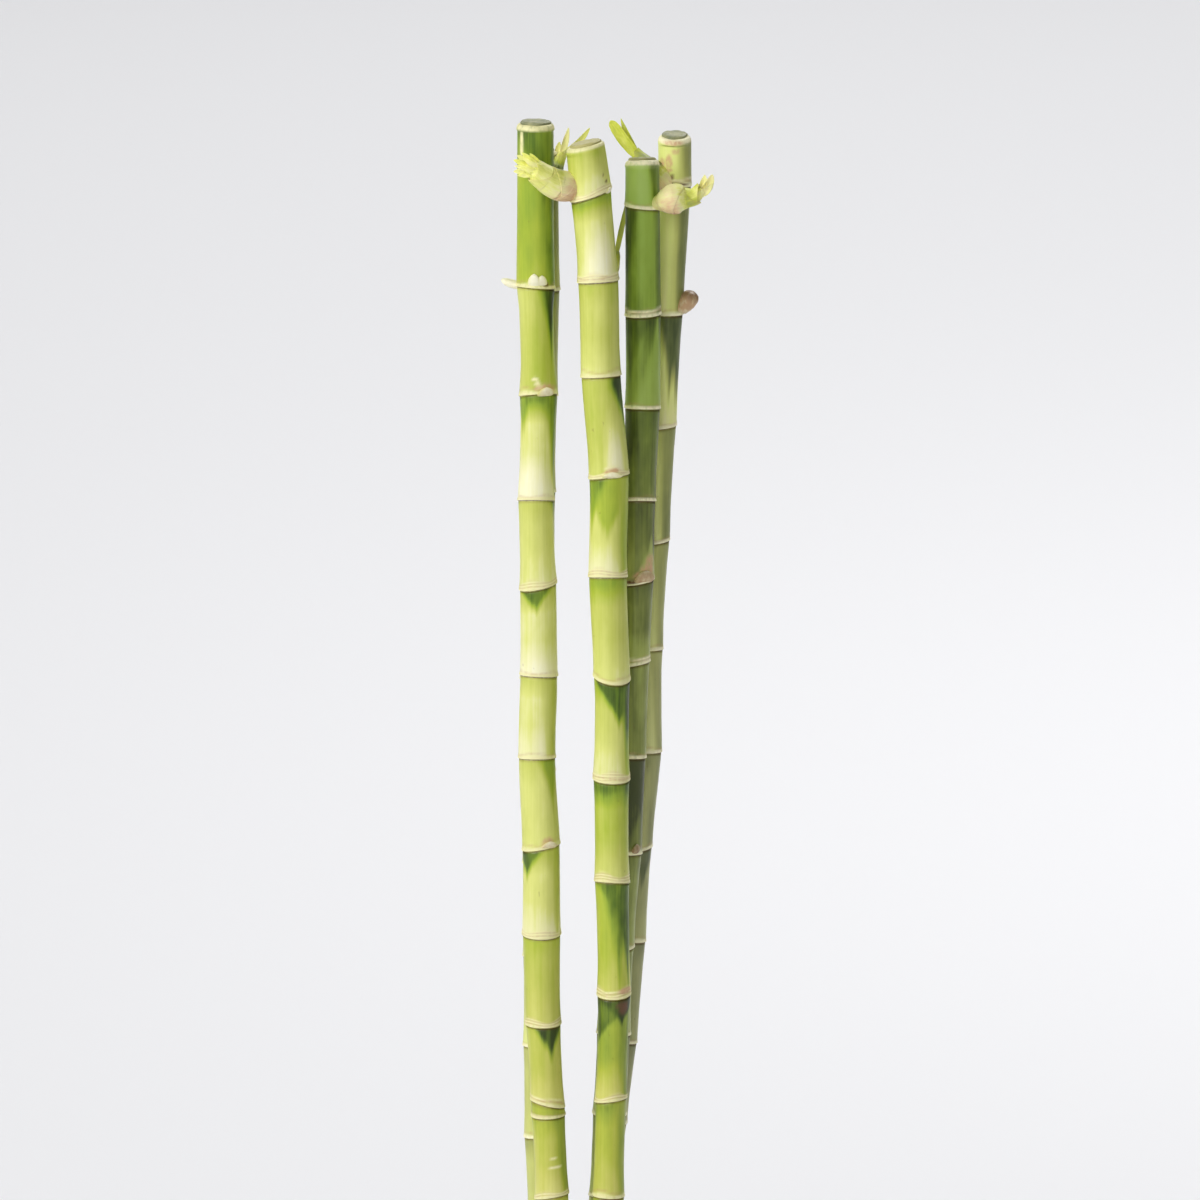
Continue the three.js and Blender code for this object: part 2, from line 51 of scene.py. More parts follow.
# The glass and the water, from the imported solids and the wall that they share.
VASE_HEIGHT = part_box("vase")[1].z / MM
VASE_FOOT_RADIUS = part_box("vase")[1].x / MM
WATER_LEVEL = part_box("water")[1].z / MM
VASE_MOUTH_RADIUS = 26.8
VASE_TAPER = 1.5  # above 1 the wall draws in faster near the foot
GLASS_WALL = 3
GLASS_FLOOR = 9
FOOT_EDGE = 2.5
FOOT_HOLLOW = [(0, 0.6), (0.55, 0.55)]  # share of the foot's radius, and height
FOOT_RIM = [(4, 0.3), (2, 0)]  # distance inside the foot's rounded edge, and height
WALL_START = FOOT_EDGE + 0.6
FLOOR_CORNER = 6
CORNER_TOP = GLASS_FLOOR + FLOOR_CORNER
# Degrees over which the glass is rounded, and for the rim also the number of points.
FOOT_ARC = (-90, -12)
RIM_ARC = (12, 168, 16)
CORNER_ARC = (-8, -90)
WATER_ARC = (-80, -8)
VASE_SIDES = 144
WALL_ROWS = 60
WATER_WALL_ROWS = 40
SURFACE_ROWS = 110
SURFACE_REACH = (0.15, 0.97)  # first ring in from the water's edge, and the last as a share of the way
WATER_OVERLAP = 0.15  # the water reaches into the wall, so that no film of air shows
MENISCUS_HEIGHT = 0.8991
MENISCUS_WIDTH = 1.3

# The foot of a cane, in the water, and the internodes below the listed ones.
CANE_FOOT = GLASS_FLOOR + 0.3
FOOT_GIRTH = 0.93
FOOT_BEVEL = 0.3
FOOT_SKIN = {"tone": 0.3, "cream": 0.6, "blush": 0, "scar": 0, "dull": 1}
LOWEST_RING = 12  # above the foot
BURIED_WAIST = 0.95
BURIED_DROP = 0.4
BURIED_BAND = 1.2
BURIED_TONES = (0.9, 0.03)  # share kept of the tones of the internode above, and what is added

CANE_SIDES = 72
ROW_STEP = 0.8
TILT_REACH = 4  # a cane's lean is measured over this height both ways
OVAL = 0.006  # how far a cane is out of round, as a share of its radius
THREE_SIDED = 0.004
SWAY = 0.9  # degrees that these shapes turn for each millimetre of height
COUNTER_SWAY = 1.7  # how much faster the three-sided one turns, the other way

# A ring from its underside to the shoulder above its lip: height, and share of the ring radius.
RING_UNDERSIDE = [(-0.5, 0.978), (-0.3, 0.972), (-0.2, 1.005), (-0.08, 1.042)]
RING_LIP = [(0, 1.05), (0.16, 1.052), (0.4, 1.044), (0.75, 1.03), (1.2, 1.018), (1.7, 1.01)]
RING_FLARE = 0.4  # share of the internode over which it narrows above the lip
FLARE_CURVE = 1.4
RING_SWELL = 0.74  # share of the internode above which it widens to the next ring
RING_TOP = 0.982
CUT_INTERNODE = 1.3  # the cut internode is shaped as if it were this much longer

# The pale band above a lip. Fades are in heights of the band.
LIP_BAND = (0.63, 1.05)  # heights between which the bright line along a lip fades out
LIP_UNDERSIDE = -0.1  # a ring is brown below this height: scar colour with painted shade on the lip's underside
UNDER_RING_SHADE = 0.7  # height of the brown painted shade under the ring above
# how brown the underside of a ring and the band under the next ring are: scar colour with painted shade
BROWN_SHARE = 0.7
BAND_WAVES = (0.3, 3, 7)  # size, waves round the cane, and turn with the ring's height
PLAIN_FADE = (0.45, 1.15)
PLAIN_CREAM = 0.8
TAN_LINE = (0.3, 1.25, 0.35)  # strength, place in heights of the band, and width
TAN_SCAR = 0.25  # how brown a tan line is

# Rings with a higher band than this are folded above the lip.
FOLDED_BAND = 1.6
FOLD = 0.95  # spacing of the folds
FOLD_START = 0.35
FOLDS_FROM = 0.5  # folds stand out above this height
FOLD_RELIEF = 0.016
FOLDED_FADE = (0.7, 1.2)
FOLD_CREAM = (0.45, 0.5)  # between the folds, and how much more on them
FOLD_TAN = 0.35
FOLD_ROWS = (0.55, 1.3, 0.14)  # close rows: the first, the last in heights of the band, and the spacing

# The second line of a double scar.
SECOND_RIDGE = 1.9
RIDGE_WAVE = 0.35
RIDGE_WIDTH = 0.4
RIDGE_RELIEF = 0.02
RIDGE_TAN = (0.5, 0.55, 0.25)  # strength, distance below the ridge, and width

# Patches and marks. The first three are for dark patches on the side that the photograph doesn't show.
BACK_SIDES = ((20, 80), (80, 160))
BACK_CHANCE = 0.55
BACK_RANGES = ((22, 50), (0.2, 0.6), (0.82, 0.97))  # of half width, length and tone
RAGGED = ((6, 11, 1), (4, 23, 2))  # a patch's sides: degrees, waves round the cane, and times the phase
RAGGED_SIDES = 0.6
PALE_PATCH = 0.3  # patches of a lower tone fade out all round
PALE_FADE = (0.2, 1.3)
WEDGE_FADE = (-13, 14)
WEDGE_SLANT = (0.7, 0.3)
TONE_HEIGHTS = (0, 0.08, 0.42, 0.72, 0.93, 1)  # two for each of an internode's tones, from the foot up
MARK_EDGE = (0.5, 1.4)

CUT_BEVEL_WIDTH = 1.1
CUT_BEVEL_HEIGHT = 1.9
CUT_ROWS = 9
UNDER_WAX = 0.4  # how far the cut face reaches in under the wax
RIM_FADE = (0.6, 1.2)  # in heights of the pale rim

# Buds. Half widths are shares of the bud's width, at shares of its length.
BUD_SIDES = 24
BUD_ROWS = 16
PLUMP_BUD = 6  # longer buds are plump, and the others lie on the cane like flakes
BUD_LENGTHS = (0, 0.18, 0.4, 0.7, 0.9, 1)
PLUMP_WIDTHS = (0.46, 0.54, 0.58, 0.56, 0.42, 0.1)
FLAKE_WIDTHS = (0.46, 0.55, 0.57, 0.46, 0.27, 0.05)
BUD_LIFT = 0.2
BUD_ROOT = 0.8  # distance from the cane's axis, as a share of the ring radius
BUD_BELLY = 0.24  # how far the middle swells out, as a share of the ring radius
BELLY_TURN = 0.6  # share of half a wave over which it swells
BUD_THICKNESS = (0.24, 0.6)  # share of its width, and how much more where it leans out
LEAN_GAIN = 4
FLAT_LEAN = 0.1  # buds that lean less have a green margin
MARGIN_TONE = 0.22
PLUMP_BLUSH = (-0.3, 0.4)
FLAKE_BLUSH = 0.6  # share of the pink that is gone at a flake's tip
TIP_BROWN = 0.5
TIP_FADE = (0.5, 0.98)  # shares of the length between which a plump bud turns brown

# Wax. The profile is share of the thickness, and share of the radius.
SEAL_INSET = 0.25
SEAL_THICKNESS = 1.0
SEAL_SIDES = 64
SEAL_SINK = 0.05
SEAL_PROFILE = [
    (0, 0.99), (0.25, 1.02), (0.55, 1.01), (0.8, 0.95), (0.95, 0.86), (1.0, 0.72), (0.93, 0.5), (0.86, 0.3),
    (0.84, 0.12), (0.84, 0.02),
]
EDGE_WAVES = 4
EDGE_COUNTS = (2, 7)
EDGE_PHASES = (0, 6.3)
EDGE_SIZES = (0.01, 0.03)
EDGE_REACH = 1.2
WAX_BUMPS = (0.1, 1.9, 2.3)  # height, and waves along x and along y

# Shoots.
STEM_STEPS = 160
SPLINE_STEPS = 24
CORE_SIDES = 36
CORE_TAPER = (0.4, 0.75)  # how much the core narrows, and the share of its length where that starts
SHEATH_THICKNESS = 0.22
SHEATH_THINNING = 0.7
SHEATH_LIFT = 0.2  # how far a sheath's open edge stands off
SHEATH_REACH = 1.7  # length on its tip's side, against the spacing of the sheaths
SHEATH_SHORT = 0.42  # length on the other side, as a share of that
SHEATH_POINT = 1.8
SHEATHED = 0.86  # share of the stem over which sheaths start
SHEATH_TURN = 0.5  # random turn of a sheath's tip, in radians
SHEATH_TINT = 0.05
EDGE_SHARPNESS = 14
UPPER_TINT = 0.26  # how much yellower a shoot is above than below: partly its own colour, partly painted light on its top
UPPER_FADE = (0.3, 0.5)
SHEATH_SIDES = 48
SHEATH_ROWS = 18

# Blades. Widths are shares of the blade's, at shares of its length.
LEAF_ROWS = 36
LEAF_COLUMNS = 15
LEAF_THICKNESS = 0.5
LEAF_EDGE = 0.7  # how much thinner its sides are
LEAF_TIP = 0.5  # how much thinner its tip is
LEAF_FOLD = 0.35
LEAF_WAVE = (0.12, 9)
LEAF_FRONT = (0, -1, -0.35)
LEAF_SHADES = 0.08  # random range of tint from blade to blade
LEAF_FADE = 0.05
POINTED_LENGTHS = (0, 0.2, 0.4, 0.6, 0.8, 0.95, 1)
POINTED_WIDTHS = (0.6, 0.92, 1, 0.85, 0.5, 0.16, 0.03)
ROUNDED_LENGTHS = (0, 0.2, 0.5, 0.8, 0.92, 0.98, 1)
ROUNDED_WIDTHS = (0.6, 0.92, 1, 0.95, 0.75, 0.42, 0.12)

# Where the photograph was taken from, in degrees and metres.
VIEW_ELEVATION = 11
VIEW_DISTANCE = 2.6
VIEW_TARGET = (0.00648, 0, 0.362)
FRAME_WIDTH = 1200 * 0.000324  # of what the photograph shows at the canes
SENSOR = 36
CLIP = (0.01, 100)

# The studio. Lamps: name, place, what it points at, width and height, and power in watts.
FLOOR_REACH = 14
SKY_STRENGTH = 0.1
LAMPS = [
    ("key", (-1.6, -1.03, 1.5), (0, 0, 0.4), (0.5, 1.0), 28.5),
    ("fill", (-0.4, -2.2, 1.25), (0, 0, 0.4), (1.0, 1.0), 13),
    ("floor_wash", (0.3, 4.5, 2.5), (0.3, 4.49, 0), (5, 6), 128),
    ("left_wash", (-5.6, 0, 2.5), (-5.6, 0.01, 0), (5, 6), 55),
    ("right_wash", (5.9, 0, 2.5), (5.9, 0.01, 0), (5, 6), 45),
    ("front_wash", (0.3, -5.8, 2.5), (0.3, -5.81, 0), (5, 6), 64),
    ("floor_pool", (0.8, 1.1, 1.9), (0.8, 1.099, 0), (0.6, 0.6), 19),
]


# Tones run from 0, cream, through yellow green at 0.5 to 1, the darkest green.
class Internode(NamedTuple):
    """A ring and the length of cane above it."""

    z: float  # height of the ring
    low: float  # direction of the ring's low side
    drop: float  # how far that side lies below the ring's height
    waist: float  # narrowest radius, as a share of the ring radius
    band: float  # height of the pale band above the lip
    tones: tuple  # at the top, in the middle and at the foot
    # Direction, half width in degrees, length as a share of the internode, and tone. A patch hangs from
    # the ring above, or stands on the ring below if its length is negative.
    # Darker patches of length 3 on the right side, at about -12 to -62 degrees, are painted shade along the
    # whole internode on the side away from the key lamp.
    patches: tuple = ()


class Cane(NamedTuple):
    slot: str
    path: list  # height, x, y and ring radius
    internodes: list  # from the top down, each as an Internode
    ring_step: float  # spacing of the rings below the listed ones
    dull: tuple  # heights between which the duller, greyer skin lower down fades out
    cut: tuple  # rise of the cut face along x and along y
    wax: float  # how tan the wax is
    rim: float  # height of the pale rim under the cut
    buds: list  # ring height, direction, length, width, lean outward, and pink, which over 1 is brown
    double_rings: list  # heights of the rings that are double scars
    marks: dict  # cream scratches and a painted highlight, brown scars and pink blushes: height, direction, width and height


class Row(NamedTuple):
    """A ring of points round a cane."""

    z: float
    girth: float  # share of the ring radius
    node: Internode = None
    upper: Internode = None  # the internode above, if the cane isn't cut before it
    share: float = 0.0  # of the internode's height
    h: float = 0.0  # height above the ring
    height: float = 0.0  # of the whole internode


class Shoot(NamedTuple):
    path: list  # x, y, z and radius, from inside the cane to the last sheath
    sheaths: int
    # Share of the path and tint there: 0 pinkish tan, 0.4 pale yellow, 0.75 yellow green, 1 dark green.
    tints: list
    leaf_tint: float
    leaves: list  # root, bow and tip of each blade, its width, and how blunt its tip is


# Each cane's full-length darker patches on its right side, at about -12 to -62 degrees, are painted shade.
CANES = {}
CANES["front_left"] = Cane(
    slot="bright_cane",
    path=[
        (9, -7, -12, 5.6), (165, -9.3, -12.5, 5.5), (195, -10.5, -12.4, 5.5), (224, -12, -12.3, 5.7),
        (254, -12.5, -12.1, 6.15), (283, -12.6, -12, 6.05), (312, -13.9, -11.9, 5.95),
        (340, -13.3, -11.8, 6.05), (369, -13.5, -11.6, 5.95), (397, -14.1, -11.5, 5.85),
        (431, -13.3, -11.3, 6.1), (466, -14.1, -11.1, 6.15), (519, -14.1, -10.9, 6.1),
    ],
    internodes=[
        (466.3, 47, 0.7, 0.955, 1.5, (0.84, 0.73, 0.64), [(-58, 84, 0.46, 0.9), (-12, 46, 3, 0.84)]),
        (431.3, 106, 1.3, 0.89, 1.5, (0.66, 0.62, 0.56), [(-32, 32, 0.6, 0.96), (-150, 40, 3, 0.46)]),
        (397, 90, 1.2, 0.93, 0.9, (0.82, 0.3, 0.1),
         [(-15, 45, 0.9, 0.84), (-150, 26, 0.4, 0.84), (-110, 80, -0.4, 0.06)]),
        (369, -168, 1.1, 0.95, 2.4, (0.47, 0.37, 0.28)),
        (339.7, 73, 0.6, 0.98, 0.9, (0.54, 0.28, 0.1), [(-98, 42, 0.26, 0.93)]),
        (312.5, 90, 0.6, 1, 1.1, (0.5, 0.27, 0.12), [(-22, 34, 3, 0.5)]),
        (283, 174, 1, 0.99, 1.3, (0.42, 0.38, 0.34), [(-38, 34, 0.55, 0.74)]),
        (254, -90, 0.6, 0.98, 2.1, (0.6, 0.34, 0.16), [(-142, 44, 0.3, 0.92), (-32, 26, 1.0, 0.58)]),
        (224, -60, 0.3, 0.97, 2.3, (0.62, 0.58, 0.5)),
        (197.3, 8, 1.6, 0.96, 1.2, (0.6, 0.54, 0.42), [(-66, 42, 0.38, 0.97)]),
        (193.3, -90, 0.1, 1, 0.8, (0.7, 0.7, 0.7)),
        (166, 138, 1.1, 0.95, 1.8, (0.68, 0.56, 0.4), [(-14, 36, 3, 0.78)]),
    ],
    ring_step=29,
    dull=(190, 290),
    cut=(0, 0.03),
    wax=0.1,
    rim=1.9,
    buds=[
        (466.3, -94, 5, 3.8, 0.06, 0.1), (466.3, -72, 4.4, 3.4, 0.05, 0.2), (466.3, 178, 5.2, 3, 2.2, 0.2),
        (431.3, -66, 3.2, 5, 0.04, 0.45), (283, -62, 2.6, 5, 0.04, 0.7),
    ],
    double_rings=[197.3],
    marks={
        # The cream mark at 512.8 is a painted highlight: a thin pale streak down the left of the top
        # internode.
        "cream": [
            (176.2, -72, 4.6, 0.5), (512.8, -139, 1.7, 11), (433.4, -84, 3, 1.4), (434.8, -92, 2.4, 1.4),
            (436.2, -100, 2.2, 1.4), (179.2, -78, 3, 0.4), (181.4, -62, 3.4, 0.4),
        ],
        "scar": [(467.6, -58, 2.2, 1.6)],
        "blush": [(433, -66, 7, 3), (285.2, -70, 4, 2.4)],
    },
)
CANES["front_right"] = Cane(
    slot="bright_cane",
    path=[
        (9, 7, -12, 5.4), (166, 9.2, -13, 5.2), (198, 10, -13.3, 5.2), (234, 11, -13.7, 5.45),
        (272, 10.4, -14.1, 5.65), (306, 10.2, -14.5, 5.85), (339, 10.3, -14.9, 5.85), (373, 9, -15.2, 6.15),
        (406, 9.3, -15.6, 6.35), (438, 6.8, -16, 6.35), (469, 5.9, -16.4, 6.5), (497, 3.6, -16.7, 6.45),
        (513, 1.8, -16.9, 6.25),
    ],
    internodes=[
        (497, -175, 1.7, 0.99, 2.0, (0.58, 0.48, 0.34), [(-78, 60, -0.7, 0.22)]),
        (469, 104, 0.65, 0.95, 2.4, (0.8, 0.42, 0.34), [(-86, 66, -0.85, 0.03)]),
        (438.3, 100, 0.6, 0.975, 1.4, (0.54, 0.47, 0.33)),
        (405.6, 135, 1, 0.98, 1.8, (0.58, 0.5, 0.4),
         [(-16, 44, 0.55, 0.97), (-106, 34, 0.9, 0.56), (-68, 34, -0.6, 0.08)]),
        (372.6, 85, 1.1, 0.97, 2.3, (0.78, 0.37, 0.16),
         [(-94, 84, 0.6, 0.66), (-152, 40, 0.5, 0.86), (-22, 30, 3, 0.66)]),
        (339.8, -61, 1.7, 0.985, 1.2, (0.76, 0.48, 0.32)),
        (306, -67, 0.4, 0.94, 3.2, (0.66, 0.42, 0.24),
         [(-14, 34, 3, 0.6), (-62, 66, 0.42, 0.93), (-26, 40, 0.75, 0.94), (-16, 36, 0.5, 1.0)]),
        (271.7, 73, 1.1, 0.945, 2.7, (0.88, 0.61, 0.42)),
        (234.2, -106, 0.6, 0.94, 2.6, (0.68, 0.61, 0.5),
         [(-22, 100, 0.4, 0.89), (-72, 40, 0.8, 0.86), (-28, 62, 0.85, 0.94)]),
        (198.7, 149, 1, 0.925, 1.9, (0.95, 0.76, 0.44),
         [(-14, 36, 3, 0.8), (-160, 120, 0.42, 0.93), (-56, 70, 0.24, 1.0)]),
        (166.3, 59, 0.3, 0.945, 1.6, (0.8, 0.62, 0.54), [(-14, 40, 3, 0.76)]),
    ],
    ring_step=31,
    dull=(190, 290),
    cut=(0.22, 0.02),
    wax=0.9,
    rim=1.2,
    buds=[
        (497, -30, 2.6, 2.6, 0.06, 0.3), (405.6, -80, 2.2, 6, 0.03, 0.3), (438.3, 120, 3.6, 2.8, 0.15, 0.5),
        (271.7, 75, 3.6, 2.8, 0.15, 0.5),
    ],
    double_rings=[469, 306, 234.2],
    marks={
        "cream": [(408.8, -84, 4, 1.2)],
        "scar": [
            (230.4, -50, 4.2, 4), (231.8, -56, 5, 2.4), (165.4, -84, 8, 1.2), (500.2, -36, 1.2, 1.4),
            (503, -44, 0.9, 0.8),
        ],
        "blush": [(236.6, -46, 6, 1.8), (407.4, -78, 5, 1.4)],
    },
)
CANES["middle_right"] = Cane(
    slot="dark_cane",
    path=[
        (9, 7, 4, 5.5), (163, 8.6, 3, 5.5), (217, 10.9, 2.1, 5.5), (247, 12, 1.6, 5.6),
        (278, 14.4, 1.1, 5.7), (310, 15.8, 0.6, 5.7), (341, 17, 0, 5.7), (368, 18.3, -0.5, 5.7),
        (395, 18.8, -0.9, 5.7), (425, 20.2, -1.5, 5.7), (456, 20.3, -2, 5.75), (506, 20, -2.8, 5.6),
    ],
    internodes=[
        (491, 10, 0.6, 0.97, 1.2, (0.7, 0.62, 0.68), [(-26, 34, 3, 0.92)]),
        (456, -175, 0.3, 0.98, 1.4, (0.88, 0.89, 0.92),
         [(-156, 40, 0.8, 0.98), (-62, 30, 3, 0.83), (-12, 24, 3, 0.94)]),
        (425.4, 90, 0.7, 0.97, 1.0, (0.97, 0.9, 0.86), [(-136, 50, 0.6, 0.97), (-36, 60, -1, 0.8)]),
        (394.8, 99, 1.3, 0.96, 0.9, (0.96, 0.95, 0.93), [(-140, 40, 0.8, 0.98)]),
        (368.4, 180, 1.1, 0.97, 1.3, (0.96, 0.95, 0.9), [(-36, 46, -0.5, 0.8)]),
        (341, 160, 1.3, 0.96, 1.4, (0.96, 0.92, 0.82)),
        (309.8, 99, 0.9, 0.96, 1.1, (0.94, 0.92, 0.89), [(-22, 36, 3, 0.87)]),
        (277.8, 104, 0.7, 0.95, 1.5, (0.98, 0.95, 0.93), [(-74, 110, 0.85, 1.0)]),
        (247, -70, 0.6, 0.95, 1.3, (0.92, 0.88, 0.84)),
        (217, 80, 0.5, 0.95, 1.1, (0.9, 0.86, 0.82)),
        (190, -90, 0.4, 0.95, 1.3, (0.9, 0.86, 0.8)),
        (162.5, -110, 0.4, 0.95, 1.2, (0.88, 0.84, 0.78)),
    ],
    ring_step=28,
    dull=(370, 465),
    cut=(0.02, -0.14),
    wax=0.5,
    rim=1.8,
    buds=[
        (456, 100, 3.8, 2.8, 0.15, 0.5), (368.4, -62, 4.2, 6.4, 0.04, 1.3),
        (277.8, -50, 3.8, 2.8, 0.15, 1.6),
    ],
    double_rings=[456, 341],
    marks={
        "cream": [(457.5, -140, 2.2, 1.6)],
        "scar": [(369.4, -100, 7, 1.4)],
        "blush": [(372, -50, 6, 5), (374.6, -40, 4, 5), (371, -84, 4, 2)],
    },
)
CANES["back_right"] = Cane(
    slot="pale_cane",
    path=[
        (9, -1, 20, 4.95), (158, 7.8, 16, 4.95), (184, 10.4, 15.6, 4.95), (211, 13.6, 15.3, 4.95),
        (245, 16.5, 14.8, 4.95), (276, 18.6, 14.4, 4.95), (309, 21.7, 13.9, 4.95), (343, 22.1, 13.4, 4.95),
        (379, 24.2, 12.9, 4.95), (417, 26.3, 12.4, 4.95), (454, 28.2, 11.8, 5.05), (496, 30.5, 11.3, 5.3),
        (512, 30.5, 11, 5.4),
    ],
    internodes=[
        (496.5, 0, 0.4, 0.99, 1.4, (0.3, 0.24, 0.3), [(-45, 26, 3, 0.55), (-12, 34, 3, 0.75)]),
        (454, 130, 0.3, 0.96, 1.2, (0.26, 0.16, 0.12), [(-62, 28, 3, 0.42), (-24, 38, 3, 0.84)]),
        (417, 176, 0.8, 0.95, 0.9, (0.55, 0.2, 0.12), [(-64, 46, 0.7, 0.93), (-24, 50, 0.85, 0.97)]),
        (379, 178, 0.9, 0.94, 0.9, (0.3, 0.16, 0.16), [(-32, 44, 3, 0.78)]),
        (343, 115, 0.7, 0.94, 1.0, (0.4, 0.34, 0.26), [(-20, 44, 3, 0.7)]),
        (309, 107, 0.5, 0.94, 1.2, (0.44, 0.36, 0.3), [(-20, 44, 3, 0.66)]),
        (276.5, -173, 1.1, 0.95, 1.1, (0.64, 0.54, 0.48), [(-20, 44, 3, 0.76)]),
        (245.4, 90, 0.4, 0.95, 1.2, (0.78, 0.68, 0.62), [(-60, 50, 0.4, 0.92)]),
        (211.5, 30, 0.4, 0.95, 1.1, (0.82, 0.74, 0.68)),
        (184, -90, 0.4, 0.95, 1.2, (0.8, 0.72, 0.64)),
        (158, 60, 0.4, 0.95, 1.2, (0.56, 0.48, 0.42)),
    ],
    ring_step=27,
    dull=(250, 430),
    cut=(0, 0.15),
    wax=0.15,
    rim=1.6,
    buds=[(455.2, -12, 7, 6.2, 0.55, 1.2), (379, 140, 3.4, 2.4, 0.15, 0.5), (309, 60, 3.4, 2.4, 0.15, 0.5)],
    double_rings=[496.5],
    marks={
        "scar": [
            (499.4, -100, 1.4, 1.2), (498.6, -130, 2.4, 1.5), (502.4, -152, 1.4, 1.5),
            (500.6, -138, 1.2, 1), (497.2, -80, 8, 0.9),
        ],
        "blush": [
            (501.6, -106, 1.2, 1.2), (504, -112, 2.4, 5), (503.5, -142, 3, 3.4), (501, -122, 2.6, 2.6),
            (499.5, -150, 3.4, 3), (498.6, -110, 2.4, 1.6), (511, -96, 7, 1.6), (507.6, -88, 3.4, 1),
        ],
    },
)
CANES["back_left"] = Cane(
    slot="pale_cane",
    path=[
        (9, -10, 8, 5.7), (151, -11.7, 11.1, 5.7), (181, -12.8, 10.8, 5.7), (211, -13.1, 10.4, 5.7),
        (273, -13.2, 9.7, 5.7), (304, -13.8, 9.4, 5.7), (397, -13.6, 8.3, 5.7), (428, -12.9, 8, 5.7),
        (463, -12.2, 7.6, 5.7), (508, -12.5, 7.1, 5.6),
    ],
    internodes=[
        (497.5, -20, 0.6, 1, 1.2, (0.84, 0.8, 0.7)),
        (463, 20, 0.4, 0.96, 1.2, (0.8, 0.72, 0.6)),
        (428, 90, 0.4, 0.95, 1.2, (0.78, 0.66, 0.56)),
        (396.5, 60, 0.5, 0.95, 1.1, (0.74, 0.62, 0.5)),
        (365.5, 110, 0.4, 0.95, 1.3, (0.72, 0.6, 0.46)),
        (334, 60, 0.6, 0.96, 1.2, (0.72, 0.58, 0.44)),
        (303.5, 100, 0.3, 0.95, 1.1, (0.7, 0.56, 0.4)),
        (272.5, 70, 0.5, 0.96, 1.2, (0.7, 0.56, 0.4)),
        (241.5, 110, 0.5, 0.95, 1.3, (0.68, 0.54, 0.36)),
        (211, 80, 0.4, 0.95, 1.1, (0.66, 0.5, 0.3)),
        (180.5, 150, 0.6, 0.95, 1.2, (0.6, 0.52, 0.46)),
        (151, 90, 0.4, 0.95, 1.3, (0.7, 0.5, 0.42)),
    ],
    ring_step=30,
    dull=(60, 140),
    cut=(-0.05, -0.05),
    wax=0.2,
    rim=1.3,
    buds=[(428, 80, 4, 3, 0.15, 0.5), (365.5, 110, 3.8, 2.8, 0.15, 0.5), (272.5, 75, 3.8, 2.8, 0.15, 0.5)],
    double_rings=[428],
    marks={},
)

SHOOTS = {}
SHOOTS["front_right"] = Shoot(
    path=[
        (1, -16.6, 499.8, 3), (-2.5, -17.6, 499.6, 4.3), (-5.5, -18.9, 500, 4.8), (-8.5, -20.3, 501.2, 4.6),
        (-11.5, -21.4, 503.2, 4.1), (-14.2, -22, 505.4, 3.5), (-16.6, -22, 507.2, 2.8),
    ],
    sheaths=4,
    tints=[(0, 0), (0.3, 0), (0.42, 0.16), (0.54, 0.42), (0.74, 0.5), (1, 0.56)],
    leaf_tint=0.52,
    leaves=[
        ([(-14.4, -21.8, 506.6), (-17.6, -21, 508.8), (-20, -20, 510)], 2.4, 0.1),
        ([(-14.8, -22.4, 506.4), (-18, -22.2, 507.8), (-21, -21, 508.6)], 2.6, 0.2),
        ([(-14.4, -23, 506), (-17.6, -23, 506.2), (-20.6, -21.6, 506.8)], 2.2, 0.1),
        ([(-14, -22.4, 505.6), (-17.6, -22.2, 505), (-21, -21.2, 505)], 2.8, 0.3),
        ([(-14, -23, 505), (-17.2, -23.2, 504), (-19.8, -22.2, 503.8)], 2.2, 0.1),
        ([(-13.6, -23.2, 507.2), (-16.2, -23, 509.4), (-18.4, -22.4, 511.2)], 2.4, 0.1),
        ([(-12.8, -23, 507.4), (-14.6, -23.4, 509.4), (-15.8, -22.8, 511)], 2.2, 0.1),
        ([(-13.2, -24.2, 506.6), (-16, -24.8, 508.4), (-18, -24.2, 509.8)], 1.9, 0.1),
        ([(-13, -24.2, 505), (-16, -25, 505.8), (-18.8, -24.4, 507.2)], 2.3, 0.3),
        ([(-12.8, -23.8, 504.2), (-15, -24.6, 504.2), (-17.2, -24, 504.8)], 2, 0.1),
        ([(-11.6, -23.6, 506.4), (-13.4, -24.8, 507.6), (-15.4, -24.6, 508.2)], 1.8, 0.1),
    ],
)
SHOOTS["middle_right"] = Shoot(
    path=[
        (22.8, -4.6, 492.4, 1.5), (25.2, -6, 492.8, 2.4), (27.4, -7, 493.4, 3.8), (29.6, -7.4, 494, 4.7),
        (31.9, -7.4, 494.4, 4.5), (34.2, -7.4, 494.5, 3.2), (36.8, -7.4, 495, 2.6), (39.4, -7.2, 497, 2.6),
    ],
    sheaths=4,
    tints=[
        (0, 0.34), (0.2, 0.2), (0.36, 0.02), (0.48, 0.1), (0.58, 0.34), (0.68, 0.7), (0.82, 0.6), (1, 0.3),
    ],
    leaf_tint=0.42,
    leaves=[
        ([(38, -7.4, 495.4), (41.4, -7.2, 497.4), (42.4, -7, 502)], 3.4, 0.4),
        ([(38.4, -7, 495.8), (39.8, -6.6, 498.6), (40, -6, 501.8)], 2.8, 0.2),
        ([(38, -8, 495.2), (40.8, -8.6, 496.8), (42.4, -8.4, 499.4)], 2.6, 0.2),
    ],
)
SHOOTS["back_right"] = Shoot(
    path=[
        (28.8, 9, 496.2, 2.9), (26.4, 8, 499, 3), (24.2, 8.4, 501.4, 2.8), (21.4, 9.4, 502.8, 2.8),
        (19.2, 10, 504.6, 2.5), (17.2, 10.3, 507, 1.9),
    ],
    sheaths=2,
    tints=[(0, 0.02), (0.25, 0.1), (0.4, 0.88), (0.8, 0.84), (1, 0.66)],
    leaf_tint=0.66,
    leaves=[
        ([(18.8, 9.8, 505.2), (14, 10.2, 510.8), (9.8, 10.6, 517)], 3.9, 0.9),
        ([(18.6, 10.6, 505.8), (15.2, 11.2, 511), (13.2, 11.8, 517.6)], 2.5, 0.1),
    ],
)
